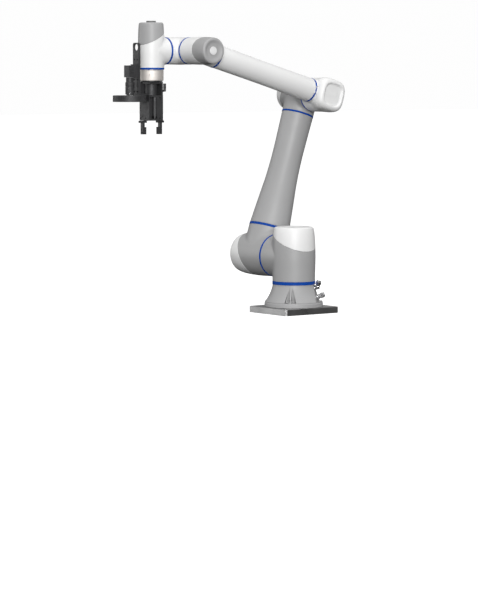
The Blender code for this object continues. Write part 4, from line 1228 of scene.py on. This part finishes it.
def light_lamps():
    """The diffuser, and three rings of lamps on it."""
    outer, inner = LIGHT_OUTER - 0.0040, LIGHT_INNER + 0.0040
    back, face = LIGHT_BOTTOM - 0.0018, LIGHT_BOTTOM - 0.0008
    disc = [(back, inner), (face, inner), (face, outer), (back, outer)]
    tool_piece(tool_round("ring_light_diffuser", -CAMERA_REACH, 0, disc, loop=True), look=DIFFUSER)
    front = LIGHT_BOTTOM - 0.0002
    lamp = [(LIGHT_BOTTOM - 0.0009, 0.0013), (LIGHT_BOTTOM - 0.0004, 0.0012), (front, 0.0007)]

    def build(bm):
        for radius, count in ((0.0300, 20), (0.0390, 26), (0.0480, 32)):
            for number in range(count):
                spot = tool_point(-CAMERA_REACH, 0, 0) + polar(2 * math.pi * number / count, radius)
                turned_into(bm, spot, -Z_AXIS, lamp, 10)

    tool_piece(mesh_object("ring_light_lamps", build), look=LED_AMBER)


def light_screws():
    """Three screws on the case's top, and a set screw in its rim."""
    middle = tool_point(-CAMERA_REACH, 0, LIGHT_TOP + 0.0002)
    spots = [middle + polar(math.radians(degrees), 0.0500) for degrees in (60, 180, 300)]
    tool_screws("ring_light_screws", [(spot, Z_AXIS, 0.0024, 0.0010) for spot in spots])
    place = rim_screw(-CAMERA_REACH, 0.1725, LIGHT_OUTER - 0.0004, math.radians(245), 0.0012, 0.0007)
    tool_screws("ring_light_set_screw", [place])


def inner_parts():
    """Drives, joint flanges and the pinion keep their solids, in steel."""
    for name, thing in frame["nodes"].items():
        joint_flange = name.startswith("joint_") and name.endswith("_flange")
        if joint_flange or name.endswith("_drive") or name == "gripper_pinion":
            thing.data.materials.clear()
            thing.data.materials.append(INNER_STEEL)


# Studio.

VIEW_AZIMUTH, VIEW_PITCH = math.radians(-36.84), math.radians(-4.97)
CAMERA_PLACE = Vector((-5.911, -7.562, 0.8791))
LENS_MM, SENSOR_MM = 160.86, 36.0


def make_camera():
    data = bpy.data.cameras.new("camera")
    data.lens, data.sensor_width = LENS_MM, SENSOR_MM
    made = new_object("camera", data)
    made.location = CAMERA_PLACE
    made.rotation_euler = (math.pi / 2 + VIEW_PITCH, 0, VIEW_AZIMUTH)
    bpy.context.scene.camera = made


FLOOR_SIZE, FLOOR_GLOW = 34, 0.60
DOME_RADIUS, DOME_GLOW = 46, 0.985


def glow(name, colour, strength):
    """Paper so bright that it stays white, with a faint mottle."""
    look, tree, shader = finish_of(name, colour, 0.9)
    shader.inputs["Specular IOR Level"].default_value = 0.05
    tinted(tree, shader, noise(tree, 0.6, 2), colour, 0.004)
    shader.inputs["Emission Color"].default_value = (1, 1, 1, 1)
    shader.inputs["Emission Strength"].default_value = strength
    return look


def make_floor():
    """A pale floor, and a white dome behind everything. Neither lights the arm."""
    sheet = {"x_segments": 1, "y_segments": 1, "size": FLOOR_SIZE}
    floor = mesh_object("floor", lambda bm: bmesh.ops.create_grid(bm, **sheet))
    floor.data.materials.append(glow("pale_floor", (0.86, 0.86, 0.86), FLOOR_GLOW))
    floor.location.z = PLATE_LOW.z - 0.0002
    ball = {"u_segments": 48, "v_segments": 24, "radius": DOME_RADIUS}
    dome = mesh_object("backdrop", lambda bm: bmesh.ops.create_uvsphere(bm, **ball))
    dome.data.materials.append(glow("white_backdrop", (0.01, 0.01, 0.01), DOME_GLOW))
    dome.visible_shadow = False
    for stage in (floor, dome):
        stage.visible_diffuse = stage.visible_glossy = stage.visible_transmission = False
        stage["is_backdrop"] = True


WORLD_LOW, WORLD_HIGH = 0.035, 0.72


def make_world():
    """A soft room: brighter overhead, dim below the horizon."""
    world = bpy.data.worlds.new("studio")
    bpy.context.scene.world = world
    world.use_nodes = True
    tree = world.node_tree
    way = node(tree, "ShaderNodeTexCoord").outputs["Generated"]
    height = node(tree, "ShaderNodeSeparateXYZ", Vector=way).outputs["Z"]
    share = node(tree, "ShaderNodeMapRange", Value=height, From_Min=-1, From_Max=1).outputs[0]
    shade = ramp(tree, share, [WORLD_LOW] * 3, [WORLD_HIGH] * 3, 0.40, 0.95)
    tree.links.new(shade, tree.nodes["Background"].inputs["Color"])


def soft_light(name, place, target, size, power):
    data = bpy.data.lights.new(name, "AREA")
    data.shape, data.size, data.energy = "DISK", size, power
    made = new_object(name, data)
    made.location = place
    made.rotation_euler = (target - place).to_track_quat("-Z", "Y").to_euler()


# Each lamp's name, its place as the camera sees it (to the right, towards it, up), its size and its power.
LAMPS = (
    ("key", 0.5, 6.0, 1.15, 3.4, 340),
    ("left", -4.0, -1.2, 0.2, 2.4, 34),
    ("right", 4.0, -1.6, 0.9, 1.6, 12),
    ("top", -0.2, 0.4, 3.6, 2.0, 30),
)


def make_lights():
    middle = Vector(((cad_bounds[0].x + cad_bounds[1].x) / 2, 0.1, 0.5))
    towards, right = -polar(math.pi / 2 + VIEW_AZIMUTH, 1), polar(VIEW_AZIMUTH, 1)
    for name, sideways, near, up, size, power in LAMPS:
        place = middle + sideways * right + near * towards + up * Z_AXIS
        soft_light(name, place, middle, size, power)
    bpy.context.scene.view_settings.view_transform = "Standard"


def main():
    make_camera()
    make_world()
    make_lights()
    make_floor()
    mounting_plate()
    base_casting()
    base_bolts()
    connectors()
    for _, tee in JOINT_MODULES:
        tee_shells(tee)
    elbow_shells()
    seal_rings()
    link_tubes()
    wrist_trim()
    tool_flange()
    gripper_adapter()
    gripper_body()
    guide_collar()
    gripper_motor()
    gripper_connector()
    finger("left", lambda thing: thing)
    finger("right", half_turned)
    camera_bracket()
    camera_housing()
    camera_lens()
    light_case()
    light_lamps()
    light_screws()
    inner_parts()


def write_sizes():
    """Works out both boxes as plain lists of numbers, which are not written anywhere."""
    boxes = {"cad": cad_bounds, "visual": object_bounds()}
    plain = {name: [[float(value) for value in corner] for corner in box] for name, box in boxes.items()}


main()
write_sizes()
